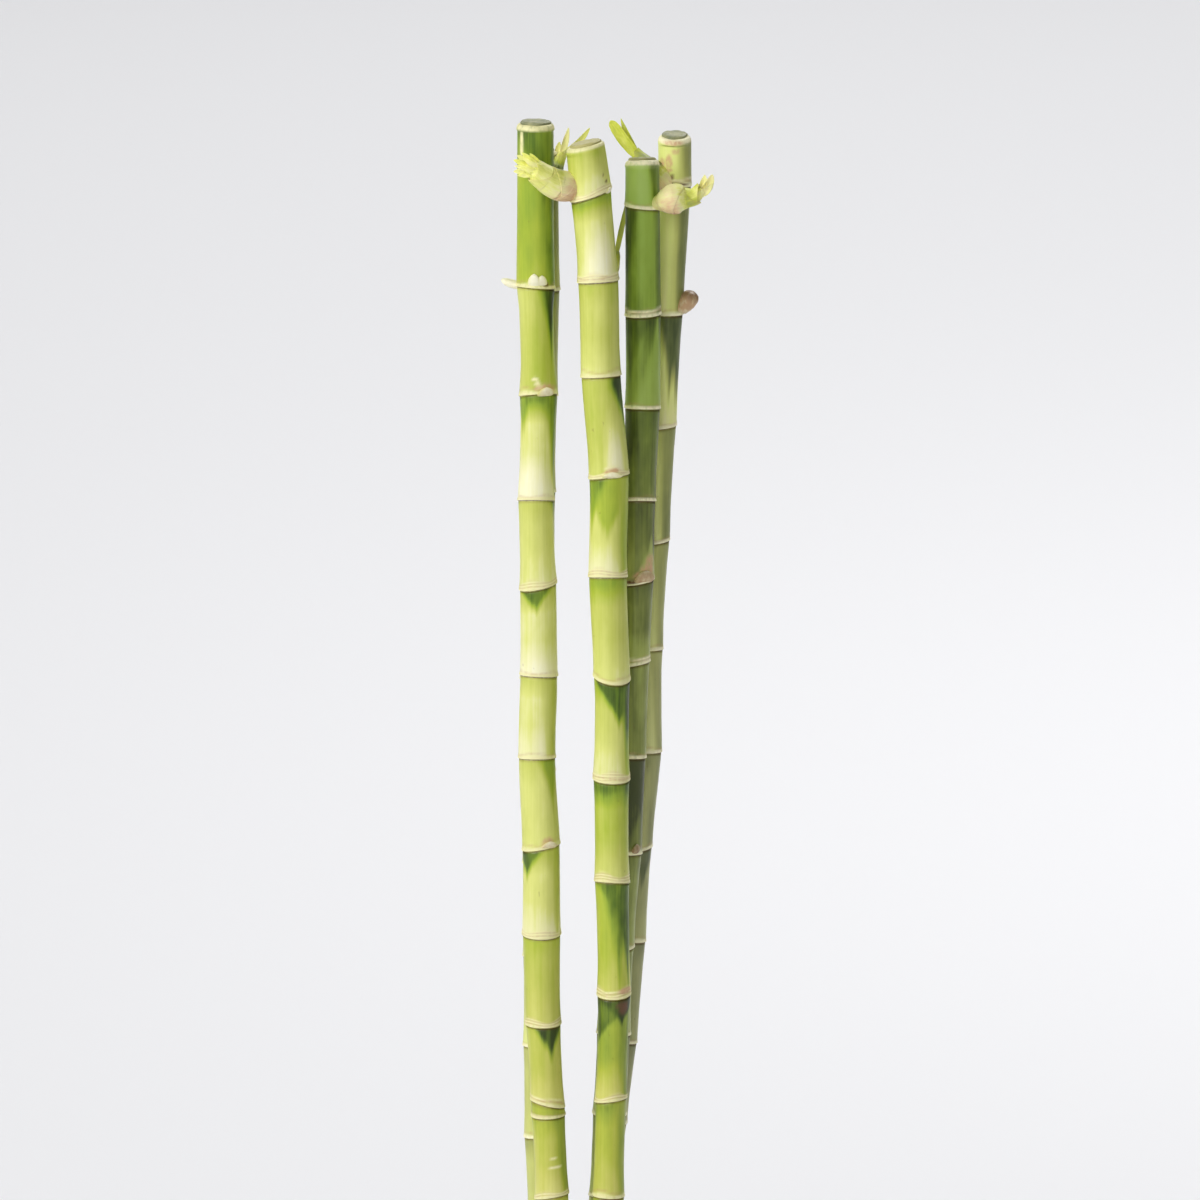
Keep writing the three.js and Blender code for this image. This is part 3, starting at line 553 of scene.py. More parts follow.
SHOOTS["back_left"] = Shoot(
    path=[
        (-10.4, 5.6, 496.6, 2.8), (-8.4, 4.6, 500.4, 2.6), (-7.2, 4.8, 504, 2.1), (-5.8, 5.6, 507.4, 1.7),
    ],
    sheaths=3,
    tints=[(0, 0.98), (0.62, 0.96), (0.78, 0.56), (1, 0.5)],
    leaf_tint=0.44,
    leaves=[
        ([(-6.2, 5.4, 506), (-4.4, 5.6, 510.6), (-3.6, 6, 515.4)], 2.2, 0.2),
        ([(-5.8, 5.6, 506.6), (-0.4, 6.2, 509.4), (3.2, 7, 515.2)], 2.4, 0.3),
        ([(-6.4, 6, 506), (-7.4, 7.6, 508.2), (-6.4, 8.8, 510.4)], 2.2, 0.2),
    ],
)
SHOOTS["front_right_rear"] = Shoot(
    path=[(8.4, -12.8, 469.6, 1.6), (10.8, -9.4, 471.6, 1.5), (11.8, -5.2, 476.4, 1)],
    sheaths=2,
    tints=[(0, 0.3), (0.5, 0.5), (1, 0.74)],
    leaf_tint=0.76,
    leaves=[([(11.5, -6.6, 474.8), (13.4, 2.6, 484), (16.4, 7, 496)], 1.8, 0.1)],
)


# Curves and meshes.


def smooth(x, low, high):
    """0 below low, 1 above high and a soft step between them."""
    t = np.clip((np.asarray(x, float) - low) / (high - low), 0, 1)
    return t * t * (3 - 2 * t)


def line_at(distance, width):
    """1 on a line, and less on both sides of it."""
    return np.exp(-((distance / width) ** 2))


def unit(vectors):
    vectors = np.asarray(vectors, float)
    return vectors / np.linalg.norm(vectors, axis=-1, keepdims=True)


def round_turns(sides):
    return np.arange(sides) * 2 * math.pi / sides


def on_plane(centre, dx, dy, z, rise):
    """Points beside a centre, on a plane that passes it at height z and rises along x and y."""
    return np.stack([centre[0] + dx, centre[1] + dy, z + dx * rise[0] + dy * rise[1]], axis=1)


def spline(points, count):
    """count points at even spacing on a smooth curve through the given ones, with all their values."""
    points = np.array(points, float)
    padded = np.vstack([2 * points[0] - points[1], points, 2 * points[-1] - points[-2]])
    fine = []
    for i in range(len(points) - 1):
        a, b, c, d = padded[i : i + 4]
        for t in np.arange(SPLINE_STEPS) / SPLINE_STEPS:
            bend = (c - a) * t + (2 * a - 5 * b + 4 * c - d) * t**2 + (3 * b - a - 3 * c + d) * t**3
            fine.append(b + 0.5 * bend)
    fine = np.array(fine + [points[-1]])
    length = np.concatenate([[0], np.cumsum(np.linalg.norm(np.diff(fine[:, :3], axis=0), axis=1))])
    at = np.linspace(0, length[-1], count)
    return np.stack([np.interp(at, length, column) for column in fine.T], axis=1)


def axes_along(line):
    """Two directions square to a line at each of its points, without twist."""
    along = unit(np.gradient(line, axis=0))
    across = np.array([0.0, 1.0, 0.0])
    first = []
    for direction in along:
        across = unit(across - direction * (across @ direction))
        first.append(across)
    first = np.array(first)
    return first, np.cross(along, first)


def ring_faces(rings, sides):
    """Quads between rings of points that follow each other."""
    faces = []
    for ring in range(rings - 1):
        for side in range(sides):
            after = (side + 1) % sides
            a = ring * sides
            faces.append((a + side, a + after, a + sides + after, a + sides + side))
    return faces


def add_object(name, data):
    made = bpy.data.objects.new(name, data)
    bpy.context.scene.collection.objects.link(made)
    return made


class Shape:
    """Vertices, faces and per-vertex values of one mesh, put together piece by piece."""

    def __init__(self, *values):
        self.points, self.faces, self.grain = [], [], []
        self.values = {name: [] for name in values}
        self.count = 0

    def add(self, points, faces, grain=None, **values):
        """grain is a point for each vertex in a space that follows the growth, for streaks along it."""
        points = np.asarray(points, float).reshape(-1, 3)
        self.points.append(points)
        self.faces += [tuple(corner + self.count for corner in face) for face in faces]
        for name, kept in self.values.items():
            kept.append(np.broadcast_to(np.asarray(values.get(name, 0.0), float).ravel(), len(points)))
        self.grain.append(points if grain is None else np.asarray(grain, float).reshape(-1, 3))
        self.count += len(points)

    def tube(self, sections, **values):
        """A closed body through rings of points; each value is a number or one for every point."""
        rows, sides = sections.shape[:2]
        last = (rows - 1) * sides
        ends = [tuple(reversed(range(sides))), tuple(last + i for i in range(sides))]
        self.add(sections, ring_faces(rows, sides) + ends, **values)

    def build(self, name, material, slot, *replaced):
        mesh = bpy.data.meshes.new(name)
        mesh.from_pydata((np.vstack(self.points) * MM).tolist(), [], self.faces)
        mesh.shade_smooth()
        for value, kept in self.values.items():
            attribute = mesh.attributes.new(value, "FLOAT", "POINT")
            attribute.data.foreach_set("value", np.concatenate(kept).astype(np.float32))
        attribute = mesh.attributes.new("grain", "FLOAT_VECTOR", "POINT")
        attribute.data.foreach_set("vector", np.vstack(self.grain).astype(np.float32).ravel())
        mesh.materials.append(material)
        piece = add_object(name, mesh)
        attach(piece, "root")
        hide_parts(*replaced)


# Canes.


def cane_at(cane, z):
    """x, y and ring radius at each height: a smooth curve through the cane's path."""
    path = np.array(cane.path, float)
    heights = path[:, 0]
    z = np.atleast_1d(np.asarray(z, float))
    k = np.clip(np.searchsorted(heights, z, side="right") - 1, 0, len(path) - 2)
    low = np.maximum(np.arange(len(path)) - 1, 0)
    high = np.minimum(np.arange(len(path)) + 1, len(path) - 1)
    slopes = (path[high] - path[low])[:, 1:] / (heights[high] - heights[low])[:, None]
    span = heights[k + 1] - heights[k]
    t = ((z - heights[k]) / span)[:, None]
    return (
        (2 * t**3 - 3 * t**2 + 1) * path[k, 1:]
        + (t**3 - 2 * t**2 + t) * span[:, None] * slopes[k]
        + (3 * t**2 - 2 * t**3) * path[k + 1, 1:]
        + (t**3 - t**2) * span[:, None] * slopes[k + 1]
    )


def square_to(cane, z):
    """Rise per millimetre along x and y of a plane square to the cane."""
    return (cane_at(cane, z - TILT_REACH) - cane_at(cane, z + TILT_REACH))[0, :2] / (2 * TILT_REACH)


def all_internodes(cane):
    """Internodes from the foot up: the listed ones, and evenly spaced ones below them."""
    found = [Internode(*each) for each in cane.internodes]
    share, added = BURIED_TONES
    while found[-1].z - cane.ring_step > CANE_FOOT + LOWEST_RING:
        z, low = found[-1].z - cane.ring_step, found[-1].low + 180
        tones = tuple(share * tone + added for tone in found[-1].tones)
        found.append(Internode(z, low, BURIED_DROP, BURIED_WAIST, BURIED_BAND, tones))
    return found[::-1]


def back_patches(rng):
    found = []
    for side in BACK_SIDES:
        if rng.random() < BACK_CHANCE:
            found.append([rng.uniform(*each) for each in (side, *BACK_RANGES)])
    return found


def internode_rows(height, band):
    """Heights above a lip at which an internode has a row of points, close together over folds."""
    near = [h for h, _ in RING_LIP]
    if band > FOLDED_BAND:
        first, reach, step = FOLD_ROWS
        near = [h for h in near if h < first] + list(np.arange(first, band * reach, step))
    end = height + RING_UNDERSIDE[0][0]
    count = max(int(round((end - near[-1]) / ROW_STEP)), 2)
    return near + list(np.linspace(near[-1], end, count + 1)[1:])


def girth(h, height, waist):
    """Radius of an internode at a height above its lip, as a share of the ring radius."""
    shoulder, start = RING_LIP[-1]
    if h < shoulder:
        return float(np.interp(h, *zip(*RING_LIP)))
    share = h / height
    flare = (1 - smooth(share, 0, RING_FLARE)) ** FLARE_CURVE
    swell = smooth(share, RING_SWELL, 1)
    return float(waist + (start - waist) * flare + (RING_TOP - waist) * swell)


def cane_rows(cane):
    """Every row of a cane, from its foot to the bevel of its cut."""
    nodes = all_internodes(cane)
    rows = [Row(CANE_FOOT, FOOT_GIRTH), Row(CANE_FOOT + FOOT_BEVEL, BURIED_WAIST)]
    for node, upper in zip(nodes, nodes[1:] + [None]):
        height = (upper.z if upper else cane.path[-1][0]) - node.z
        end, shaped = (height, height) if upper else (height - CUT_BEVEL_HEIGHT, height * CUT_INTERNODE)
        for h, share in RING_UNDERSIDE:
            rows.append(Row(node.z + h, share, node, upper, 0, h, height))
        for h in internode_rows(end, node.band):
            rows.append(Row(node.z + h, girth(h, shaped, node.waist), node, upper, h / height, h, height))
    return rows


def turned(angles, direction):
    """Angle from a direction, in degrees from -180 to 180."""
    return (angles - direction + 180) % 360 - 180


def patch_mask(share, angles, direction, half, length, pale, ragged):
    """Where a patch lies: pale ones fade out all round, the others are wedges with firmer sides."""
    along = (share if length < 0 else 1 - share) / abs(length)
    off = np.abs(turned(angles, direction)) + RAGGED_SIDES * ragged * along
    if pale:
        return 1 - smooth(np.hypot(off / half, along), *PALE_FADE)
    return smooth(half * (1 - along) - off * (WEDGE_SLANT[0] + WEDGE_SLANT[1] * along), *WEDGE_FADE)


def tone_at(row, angles, patches, phase):
    """Tone round the cane at a row."""
    tone = np.full(len(angles), np.interp(row.share, TONE_HEIGHTS, np.repeat(row.node.tones[::-1], 2)))
    ragged = sum(size * np.sin(np.radians(angles * waves + turn * phase)) for size, waves, turn in RAGGED)
    for direction, half, length, value in patches:
        mask = patch_mask(row.share, angles, direction, half, length, value < PALE_PATCH, ragged)
        tone = tone + (value - tone) * mask
    return tone


def marks_at(cane, z, angles):
    """Small pale scratches, a painted highlight, brown scars and pink blushes round the cane at a height."""
    found = {kind: np.zeros(len(angles)) for kind in ("cream", "scar", "blush")}
    radius = cane_at(cane, z)[0, 2]
    for kind, marks in cane.marks.items():
        for height, direction, width, tall in marks:
            across = np.radians(turned(angles, direction)) * radius / (width / 2)
            distance = np.hypot(across, (z - height) / (tall / 2))
            found[kind] = np.maximum(found[kind], 1 - smooth(distance, *MARK_EDGE))
    return found


def row_points(cane, row, angles, wobble):
    """The ring of points of a row, tilted as the rings below and above it are."""
    x, y, radius = cane_at(cane, row.z)[0]
    turn = np.radians(angles)
    reach = radius * row.girth * (1 + wobble)
    rise = square_to(cane, row.z) if row.node else (0, 0)
    points = on_plane((x, y), reach * np.cos(turn), reach * np.sin(turn), row.z, rise)
    sink = 0
    for node, share in ((row.node, 1 - row.share), (row.upper, row.share)):
        if node:
            sink = sink + share * node.drop * np.cos(np.radians(angles - node.low))
    points[:, 2] -= sink
    return points


def ring_relief(cane, row, angles):
    """How far folds and ridges stand out, as a share of the radius, and how pale and how tan they are."""
    node, h = row.node, row.h
    size, waves, turn = BAND_WAVES
    wave = size * np.sin(np.radians(waves * angles + node.z * turn))
    above = h > LIP_UNDERSIDE
    edge = node.band * (1 + wave)
    lip = (1 - smooth(h, *LIP_BAND)) * above
    relief = np.zeros(len(angles))
    if node.band > FOLDED_BAND:
        folds = 0.5 + 0.5 * np.cos(2 * math.pi * (h - FOLD_START - wave) / FOLD)
        fade = (1 - smooth(h, FOLDED_FADE[0] * edge, FOLDED_FADE[1] * edge)) * above
        relief = relief + FOLD_RELIEF * folds * fade * (h > FOLDS_FROM)
        pale = np.maximum(lip, fade * (FOLD_CREAM[0] + FOLD_CREAM[1] * folds))
        tan = FOLD_TAN * fade * (1 - folds) * (h > FOLDS_FROM)
    else:
        strength, place, width = TAN_LINE
        fade = 1 - smooth(h, PLAIN_FADE[0] * edge, PLAIN_FADE[1] * edge)
        pale = np.maximum(lip, PLAIN_CREAM * fade * above)
        tan = strength * line_at(h - place * edge, width) * above
    if node.z in cane.double_rings:
        strength, below, width = RIDGE_TAN
        at = h - SECOND_RIDGE - RIDGE_WAVE * np.sin(np.radians(angles * 2 + node.z))
        ridge = line_at(at, RIDGE_WIDTH)
        relief = relief + RIDGE_RELIEF * ridge
        pale = np.maximum(pale, ridge)
        tan = np.maximum(tan, strength * line_at(at + below, width))
    return relief, pale, tan


def row_skin(cane, row, tone, pale, tan, marks):
    """The skin's values round the cane at a row."""
    # Brown scar colour with painted shade under the lips: on the underside of the ring, and in a band under
    # the ring above.
    brown = float(row.h < LIP_UNDERSIDE)
    if row.share > 0.5 and row.upper:
        brown = line_at(row.height - row.h, UNDER_RING_SHADE)
    return {
        "tone": tone,
        "cream": np.clip(np.maximum(pale, marks["cream"]), 0, 1),
        "blush": np.clip(tan + marks["blush"], 0, 1),
        "scar": np.clip(marks["scar"] + BROWN_SHARE * brown + TAN_SCAR * tan, 0, 1),
        "dull": 1 - smooth(row.z, *cane.dull),
    }


def cut_rings(cane, angles):
    """The rounded edge of the cut and its flat face: rings of points, each with its depth below the face."""
    top = cane.path[-1][0]
    x, y, radius = cane_at(cane, top)[0]
    turn = np.radians(angles)
    profile = []
    for share in np.linspace(0, 1, CUT_ROWS):
        bend = math.radians(90 * share)
        profile.append((CUT_BEVEL_HEIGHT * (1 - math.sin(bend)), CUT_BEVEL_WIDTH * (1 - math.cos(bend))))
    profile.append((0, CUT_BEVEL_WIDTH + SEAL_INSET + UNDER_WAX))
    rings = []
    for depth, inset in profile:
        dx, dy = (radius - inset) * np.cos(turn), (radius - inset) * np.sin(turn)
        rings.append((on_plane((x, y), dx, dy, top - depth, cane.cut), depth))
    return rings


def cut_skin(cane, depth, angles, tone):
    """The skin's values on the edge of the cut, pale near the face."""
    marks = marks_at(cane, cane.path[-1][0] - depth, angles)
    pale = 1 - smooth(depth, cane.rim * RIM_FADE[0], cane.rim * RIM_FADE[1])
    return {"tone": tone, "cream": pale, "blush": marks["blush"], "scar": marks["scar"], "dull": 0}


def fine_cane(place, material):
    """A cane from its foot to its cut face, with its buds."""
    cane = CANES[place]
    rng = np.random.default_rng(CANE_SEED + list(CANES).index(place))
    angles = np.arange(CANE_SIDES) * 360 / CANE_SIDES
    phases = rng.uniform(0, 360, 2)
    sections, skins = [], []
    node, patches, phase = None, [], 0
    for row in cane_rows(cane):
        if row.node is not node:
            node = row.node
            patches = [*node.patches, *back_patches(rng)]
            phase = rng.uniform(0, 360)
        sway = row.z * SWAY
        wobble = OVAL * np.sin(np.radians(2 * angles + phases[0] + sway))
        wobble += THREE_SIDED * np.sin(np.radians(3 * angles + phases[1] - COUNTER_SWAY * sway))
        skin = FOOT_SKIN
        if node:
            relief, pale, tan = ring_relief(cane, row, angles)
            wobble += relief
            tone = tone_at(row, angles, patches, phase)
            skin = row_skin(cane, row, tone, pale, tan, marks_at(cane, row.z, angles))
        sections.append(row_points(cane, row, angles, wobble))
        skins.append(skin)
    for ring, depth in cut_rings(cane, angles):
        sections.append(ring)
        skins.append(cut_skin(cane, depth, angles, skins[-1]["tone"]))
    shape = Shape(*FOOT_SKIN)
    values = {name: [np.broadcast_to(skin[name], CANE_SIDES) for skin in skins] for name in FOOT_SKIN}
    shape.tube(np.array(sections), **values)
    for bud in cane.buds:
        add_bud(shape, cane, *bud)
    shape.build(f"fine_cane_{place}", material, cane.slot, f"cane_{place}")


def add_bud(shape, cane, ring, direction, length, width, lean, pink):
    """A bud above its ring: a short one lies on the cane like a flake, a long one is plump."""
    x, y, radius = cane_at(cane, ring)[0]
    turn = math.radians(direction)
    outward = np.array([math.cos(turn), math.sin(turn), 0])
    sideways = np.array([-math.sin(turn), math.cos(turn), 0])
    axis = unit(outward * lean + np.array([0, 0, 1.0]))
    raised = np.cross(sideways, axis)
    plump = length > PLUMP_BUD
    along = np.linspace(0, 1, BUD_ROWS)
    half = width * np.interp(along, BUD_LENGTHS, PLUMP_WIDTHS if plump else FLAKE_WIDTHS)
    turns = round_turns(BUD_SIDES)
    thickness = BUD_THICKNESS[0] + BUD_THICKNESS[1] * min(LEAN_GAIN * lean, 1)
    root = np.array([x, y, ring + BUD_LIFT]) + outward * radius * BUD_ROOT
    sections = []
    for share, wide in zip(along, half):
        swell = math.sin(share * math.pi * BELLY_TURN)
        centre = root + axis * length * share + outward * radius * BUD_BELLY * swell
        wider, deeper = np.cos(turns) * wide, np.sin(turns) * wide * thickness
        sections.append(centre + (np.outer(wider, sideways) + np.outer(deeper, raised)))
    share = np.repeat(along, BUD_SIDES)
    brown = max(pink - 1, 0)
    if plump:
        blush, scar = smooth(share, *PLUMP_BLUSH) * pink, brown + TIP_BROWN * smooth(share, *TIP_FADE)
    else:
        blush, scar = min(pink, 1) * (1 - FLAKE_BLUSH * share), brown
    margin = np.tile(np.abs(np.cos(turns)) ** 3, BUD_ROWS) if lean < FLAT_LEAN else 0
    shape.tube(np.array(sections), tone=MARGIN_TONE * margin, blush=blush, scar=scar)


def fine_seal(place, material):
    """Wax on the cut face: a low dome with an uneven surface."""
    cane = CANES[place]
    rng = np.random.default_rng(WAX_SEED + list(CANES).index(place))
    top = cane.path[-1][0]
    x, y, radius = cane_at(cane, top)[0]
    widest = radius - CUT_BEVEL_WIDTH - SEAL_INSET
    turns = round_turns(SEAL_SIDES)
    waves = []
    for _ in range(EDGE_WAVES):
        waves.append((rng.integers(*EDGE_COUNTS), rng.uniform(*EDGE_PHASES), rng.uniform(*EDGE_SIZES)))
    edge = 1 + sum(size * np.sin(count * turns + phase) for count, phase, size in waves)
    bump, along_x, along_y = WAX_BUMPS
    sections = []
    for lift, share in SEAL_PROFILE:
        reach = widest * share * (1 + (edge - 1) * min(share * EDGE_REACH, 1))
        dx, dy = reach * np.cos(turns), reach * np.sin(turns)
        bumps = bump * np.sin(along_x * dx + waves[0][1]) * np.cos(along_y * dy + waves[1][1])
        z = top - SEAL_SINK + lift * SEAL_THICKNESS + bumps * min(lift, 1)
        sections.append(on_plane((x, y), dx, dy, z, cane.cut))
    shape = Shape("tan")
    shape.tube(np.array(sections), tan=cane.wax)
    shape.build(f"fine_wax_{place}", material, "wax", f"wax_seal_{place}")


# Shoots.


class Stem:
    """The line of a shoot, two directions across it, its radius and its tint."""

    def __init__(self, shoot):
        path = spline(shoot.path, STEM_STEPS)
        self.line, self.radii = path[:, :3], path[:, 3]
        self.first, self.second = axes_along(self.line)
        self.share = np.linspace(0, 1, len(self.line))
        self.length = np.linalg.norm(np.diff(self.line, axis=0), axis=1).sum()
        self.tints = list(zip(*shoot.tints))

    def radius(self, share):
        return np.interp(share, self.share, self.radii)

    def tint(self, share, turn):
        low = np.interp(share, *self.tints)
        # A shoot is paler and yellower on its upper side: partly its own tint, partly painted light from
        # above.
        above = 0.5 + 0.5 * np.cos(turn - self.upward(0.5))
        return low + UPPER_TINT * above * (1 - smooth(low, *UPPER_FADE))

    def points(self, share, turn, radius):
        """Points at shares of the length and angles round it, with the grain there."""
        centre, first, second = (
            np.stack([np.interp(share, self.share, column) for column in table.T], axis=-1)
            for table in (self.line, self.first, self.second)
        )
        across, up = radius * np.cos(turn), radius * np.sin(turn)
        points = centre + first * across[..., None] + second * up[..., None]
        return points, np.stack([across, up, share * self.length], axis=-1)

    def upward(self, share):
        """The angle round the stem that points up."""
        i = int(share * (len(self.line) - 1))
        return math.atan2(self.second[i][2], self.first[i][2])


def add_core(shape, stem):
    share, turn = np.meshgrid(stem.share, round_turns(CORE_SIDES), indexing="ij")
    radius = stem.radius(share) * (1 - CORE_TAPER[0] * smooth(share, CORE_TAPER[1], 1))
    points, grain = stem.points(share, turn, radius)
    shape.tube(points, grain=grain, tint=stem.tint(share, turn))


def add_sheath(shape, stem, start, end, tip):
    """A thin scale round the stem, longest on the side of its tip, with an edge that stands off."""
    turn = round_turns(SHEATH_SIDES)
    reach = SHEATH_SHORT + (1 - SHEATH_SHORT) * ((1 + np.cos(turn - tip)) / 2) ** SHEATH_POINT
    up = np.linspace(0, 1, SHEATH_ROWS)
    rows = np.concatenate([up, up[::-1]])[:, None]
    lift = np.repeat([SHEATH_THICKNESS, 0], SHEATH_ROWS)[:, None]
    share = np.clip(start + (end - start) * reach[None, :] * rows, 0, 1)
    turns = np.broadcast_to(turn, share.shape)
    stand = lift * (1 - SHEATH_THINNING * rows) + SHEATH_LIFT * rows**2
    points, grain = stem.points(share, turns, stem.radius(share) + stand)
    last = (2 * SHEATH_ROWS - 1) * SHEATH_SIDES
    faces = ring_faces(2 * SHEATH_ROWS, SHEATH_SIDES)
    for i in range(SHEATH_SIDES):
        after = (i + 1) % SHEATH_SIDES
        faces.append((last + i, last + after, after, i))
    edge = np.broadcast_to(rows**EDGE_SHARPNESS, share.shape)
    shape.add(points, faces, grain=grain, tint=stem.tint(share, turns) + SHEATH_TINT * rows, edge=edge)


def add_leaf(shape, path, width, blunt, tint):
    """A narrow blade with a shallow channel, from root to tip."""
    root, bow, tip = (np.array(each, float) for each in path)
    t = np.linspace(0, 1, LEAF_ROWS)[:, None]
    centre = (1 - t) ** 2 * root + 2 * t * (1 - t) * bow + t**2 * tip
    along = unit(2 * (1 - t) * (bow - root) + 2 * t * (tip - bow))
    side = unit(np.cross(along, np.array(LEAF_FRONT, float)))
    back = np.cross(along, side)
    share = t[:, 0]
    pointed = np.interp(share, POINTED_LENGTHS, POINTED_WIDTHS)
    rounded = np.interp(share, ROUNDED_LENGTHS, ROUNDED_WIDTHS)
    half = (width / 2 * (pointed + (rounded - pointed) * blunt))[:, None]
    u = np.linspace(-1, 1, LEAF_COLUMNS)[None, :]
    reach = half * u
    fold = half * LEAF_FOLD * (0.5 - np.abs(u) ** 1.5)
    wave = LEAF_WAVE[0] * half * np.sin(t * LEAF_WAVE[1]) * u**2
    surfaces = []
    for face in (-1, 1):
        thick = face * LEAF_THICKNESS / 2 * (1 - LEAF_EDGE * u**2) * (1 - LEAF_TIP * t)
        out = side[:, None, :] * reach[:, :, None] + back[:, None, :] * (fold + thick + wave)[:, :, None]
        surfaces.append(centre[:, None, :] + out)
    front, behind = surfaces
    sections = np.concatenate([front, behind[:, ::-1]], axis=1)
    length = np.linalg.norm(tip - root)
    place = np.stack([reach, 0 * reach, np.broadcast_to(t * length, reach.shape)], axis=-1)
    grain = np.concatenate([place, place[:, ::-1]], axis=1)
    shape.tube(sections, grain=grain, tint=np.repeat(tint + LEAF_FADE * (share - 0.4), 2 * LEAF_COLUMNS))


def fine_shoot(name, material):
    shoot = SHOOTS[name]
    rng = np.random.default_rng(SHOOT_SEED + list(SHOOTS).index(name))
    shape = Shape("tint", "edge")
    stem = Stem(shoot)
    add_core(shape, stem)
    for i in range(shoot.sheaths):
        start = i / shoot.sheaths * SHEATHED
        end = start + SHEATH_REACH / shoot.sheaths
        tip = stem.upward(start) + math.pi * (i + 1) + rng.uniform(-SHEATH_TURN, SHEATH_TURN)
        add_sheath(shape, stem, start, end, tip)
    for path, width, blunt in shoot.leaves:
        add_leaf(shape, path, width, blunt, shoot.leaf_tint + rng.uniform(-LEAF_SHADES, LEAF_SHADES))
    shape.build(f"fine_shoot_{name}", material, "young_shoot", f"shoot_{name}")


# Vase and water.


def outer_radius(z):
    return VASE_MOUTH_RADIUS + (VASE_FOOT_RADIUS - VASE_MOUTH_RADIUS) * (1 - z / VASE_HEIGHT) ** VASE_TAPER


def inner_radius(z):
    return outer_radius(z) - GLASS_WALL


FLOOR_RADIUS = inner_radius(CORNER_TOP) - FLOOR_CORNER  # of the flat floor inside
CORNER_CENTRE = (FLOOR_RADIUS, CORNER_TOP)


def arc(centre, radius, start, end, steps=10):
    """Points of a profile on part of a circle, angles in degrees."""
    return [
        (centre[0] + radius * math.cos(math.radians(a)), centre[1] + radius * math.sin(math.radians(a)))
        for a in np.linspace(start, end, steps)
    ]


def lathe(shape, profile):
    """Turns a profile that starts and ends on the axis round the z axis."""
    turns = round_turns(VASE_SIDES)
    inside = profile[1:-1]
    rings = [on_plane((0, 0), r * np.cos(turns), r * np.sin(turns), z, (0, 0)) for r, z in inside]
    points = np.vstack([*rings, [(0, 0, profile[0][1]), (0, 0, profile[-1][1])]])
    last = (len(inside) - 1) * VASE_SIDES
    first_pole, last_pole = len(points) - 2, len(points) - 1
    faces = ring_faces(len(inside), VASE_SIDES)
    for i in range(VASE_SIDES):
        after = (i + 1) % VASE_SIDES
        faces.append((after, i, first_pole))
        faces.append((last + i, last + after, last_pole))
    shape.add(points, faces)


def fine_vase(material):
    rim = GLASS_WALL / 2
    foot = outer_radius(0)
    top = VASE_HEIGHT - rim
    profile = [(foot * share, z) for share, z in FOOT_HOLLOW]
    profile += [(foot - FOOT_EDGE - inside, z) for inside, z in FOOT_RIM]
    profile += arc((foot - FOOT_EDGE, FOOT_EDGE), FOOT_EDGE, *FOOT_ARC)
    profile += [(outer_radius(z), z) for z in np.linspace(WALL_START, top, WALL_ROWS)]
    profile += arc((VASE_MOUTH_RADIUS - rim, top), rim, *RIM_ARC)
    profile += [(inner_radius(z), z) for z in np.linspace(top, CORNER_TOP, WALL_ROWS)]
    profile += arc(CORNER_CENTRE, FLOOR_CORNER, *CORNER_ARC)
    profile += [(FLOOR_RADIUS / 2, GLASS_FLOOR), (0, GLASS_FLOOR)]
    shape = Shape()
    lathe(shape, profile)
    shape.build("clear_glass_vase", material, "glass", "vase")


def cane_gap(x, y):
    """Distance from points at the water's level to the nearest cane."""
    gaps = []
    for cane in CANES.values():
        cx, cy, radius = cane_at(cane, WATER_LEVEL)[0]
        gaps.append(np.hypot(x - cx, y - cy) - radius)
    return np.min(gaps, axis=0)


def fine_water(material):
    bottom = GLASS_FLOOR - WATER_OVERLAP
    edge = inner_radius(WATER_LEVEL) + WATER_OVERLAP
    profile = [(0, bottom), (FLOOR_RADIUS, bottom)]
    profile += arc(CORNER_CENTRE, FLOOR_CORNER + WATER_OVERLAP, *WATER_ARC)
    wall = np.linspace(CORNER_TOP, WATER_LEVEL, WATER_WALL_ROWS)
    profile += [(inner_radius(z) + WATER_OVERLAP, z) for z in wall]
    steps = np.linspace(SURFACE_REACH[0], SURFACE_REACH[1] * edge, SURFACE_ROWS)
    profile += [(edge - step, WATER_LEVEL) for step in steps]
    profile.append((0, WATER_LEVEL))
    shape = Shape()
    lathe(shape, profile)
    points = shape.points[0]
    top = np.isclose(points[:, 2], WATER_LEVEL)
    x, y = points[top, 0], points[top, 1]
    wall_gap = edge - np.hypot(x, y)
    gap = np.clip(np.minimum(wall_gap, cane_gap(x, y)), 0, None)
    points[top, 2] += MENISCUS_HEIGHT * (np.exp(-gap / MENISCUS_WIDTH) - 1)
    shape.build("still_water", material, "water", "water")


# Materials.


def linear(red, green, blue):
    """A colour as it looks on screen, from 0 to 255, as the linear colour that shaders take."""
    screen = [each / 255 for each in (red, green, blue)]
    return *(c / 12.92 if c <= 0.04045 else ((c + 0.055) / 1.055) ** 2.4 for c in screen), 1.0


RING_CREAM = linear(240, 234, 176)
PALE_RING_CREAM = linear(254, 248, 206)
PINK_TAN = linear(214, 176, 132)
BROWN = linear(104, 72, 44)
DARK_WAX = linear(100, 112, 84)
LIGHT_WAX = linear(166, 166, 126)
TAN_WAX = linear(190, 182, 118)
GLASS_TINT = linear(248, 252, 250)
WATER_TINT = linear(250, 253, 252)
FLOOR_GREY = linear(235, 235, 237)
SKY = linear(240, 241, 244)

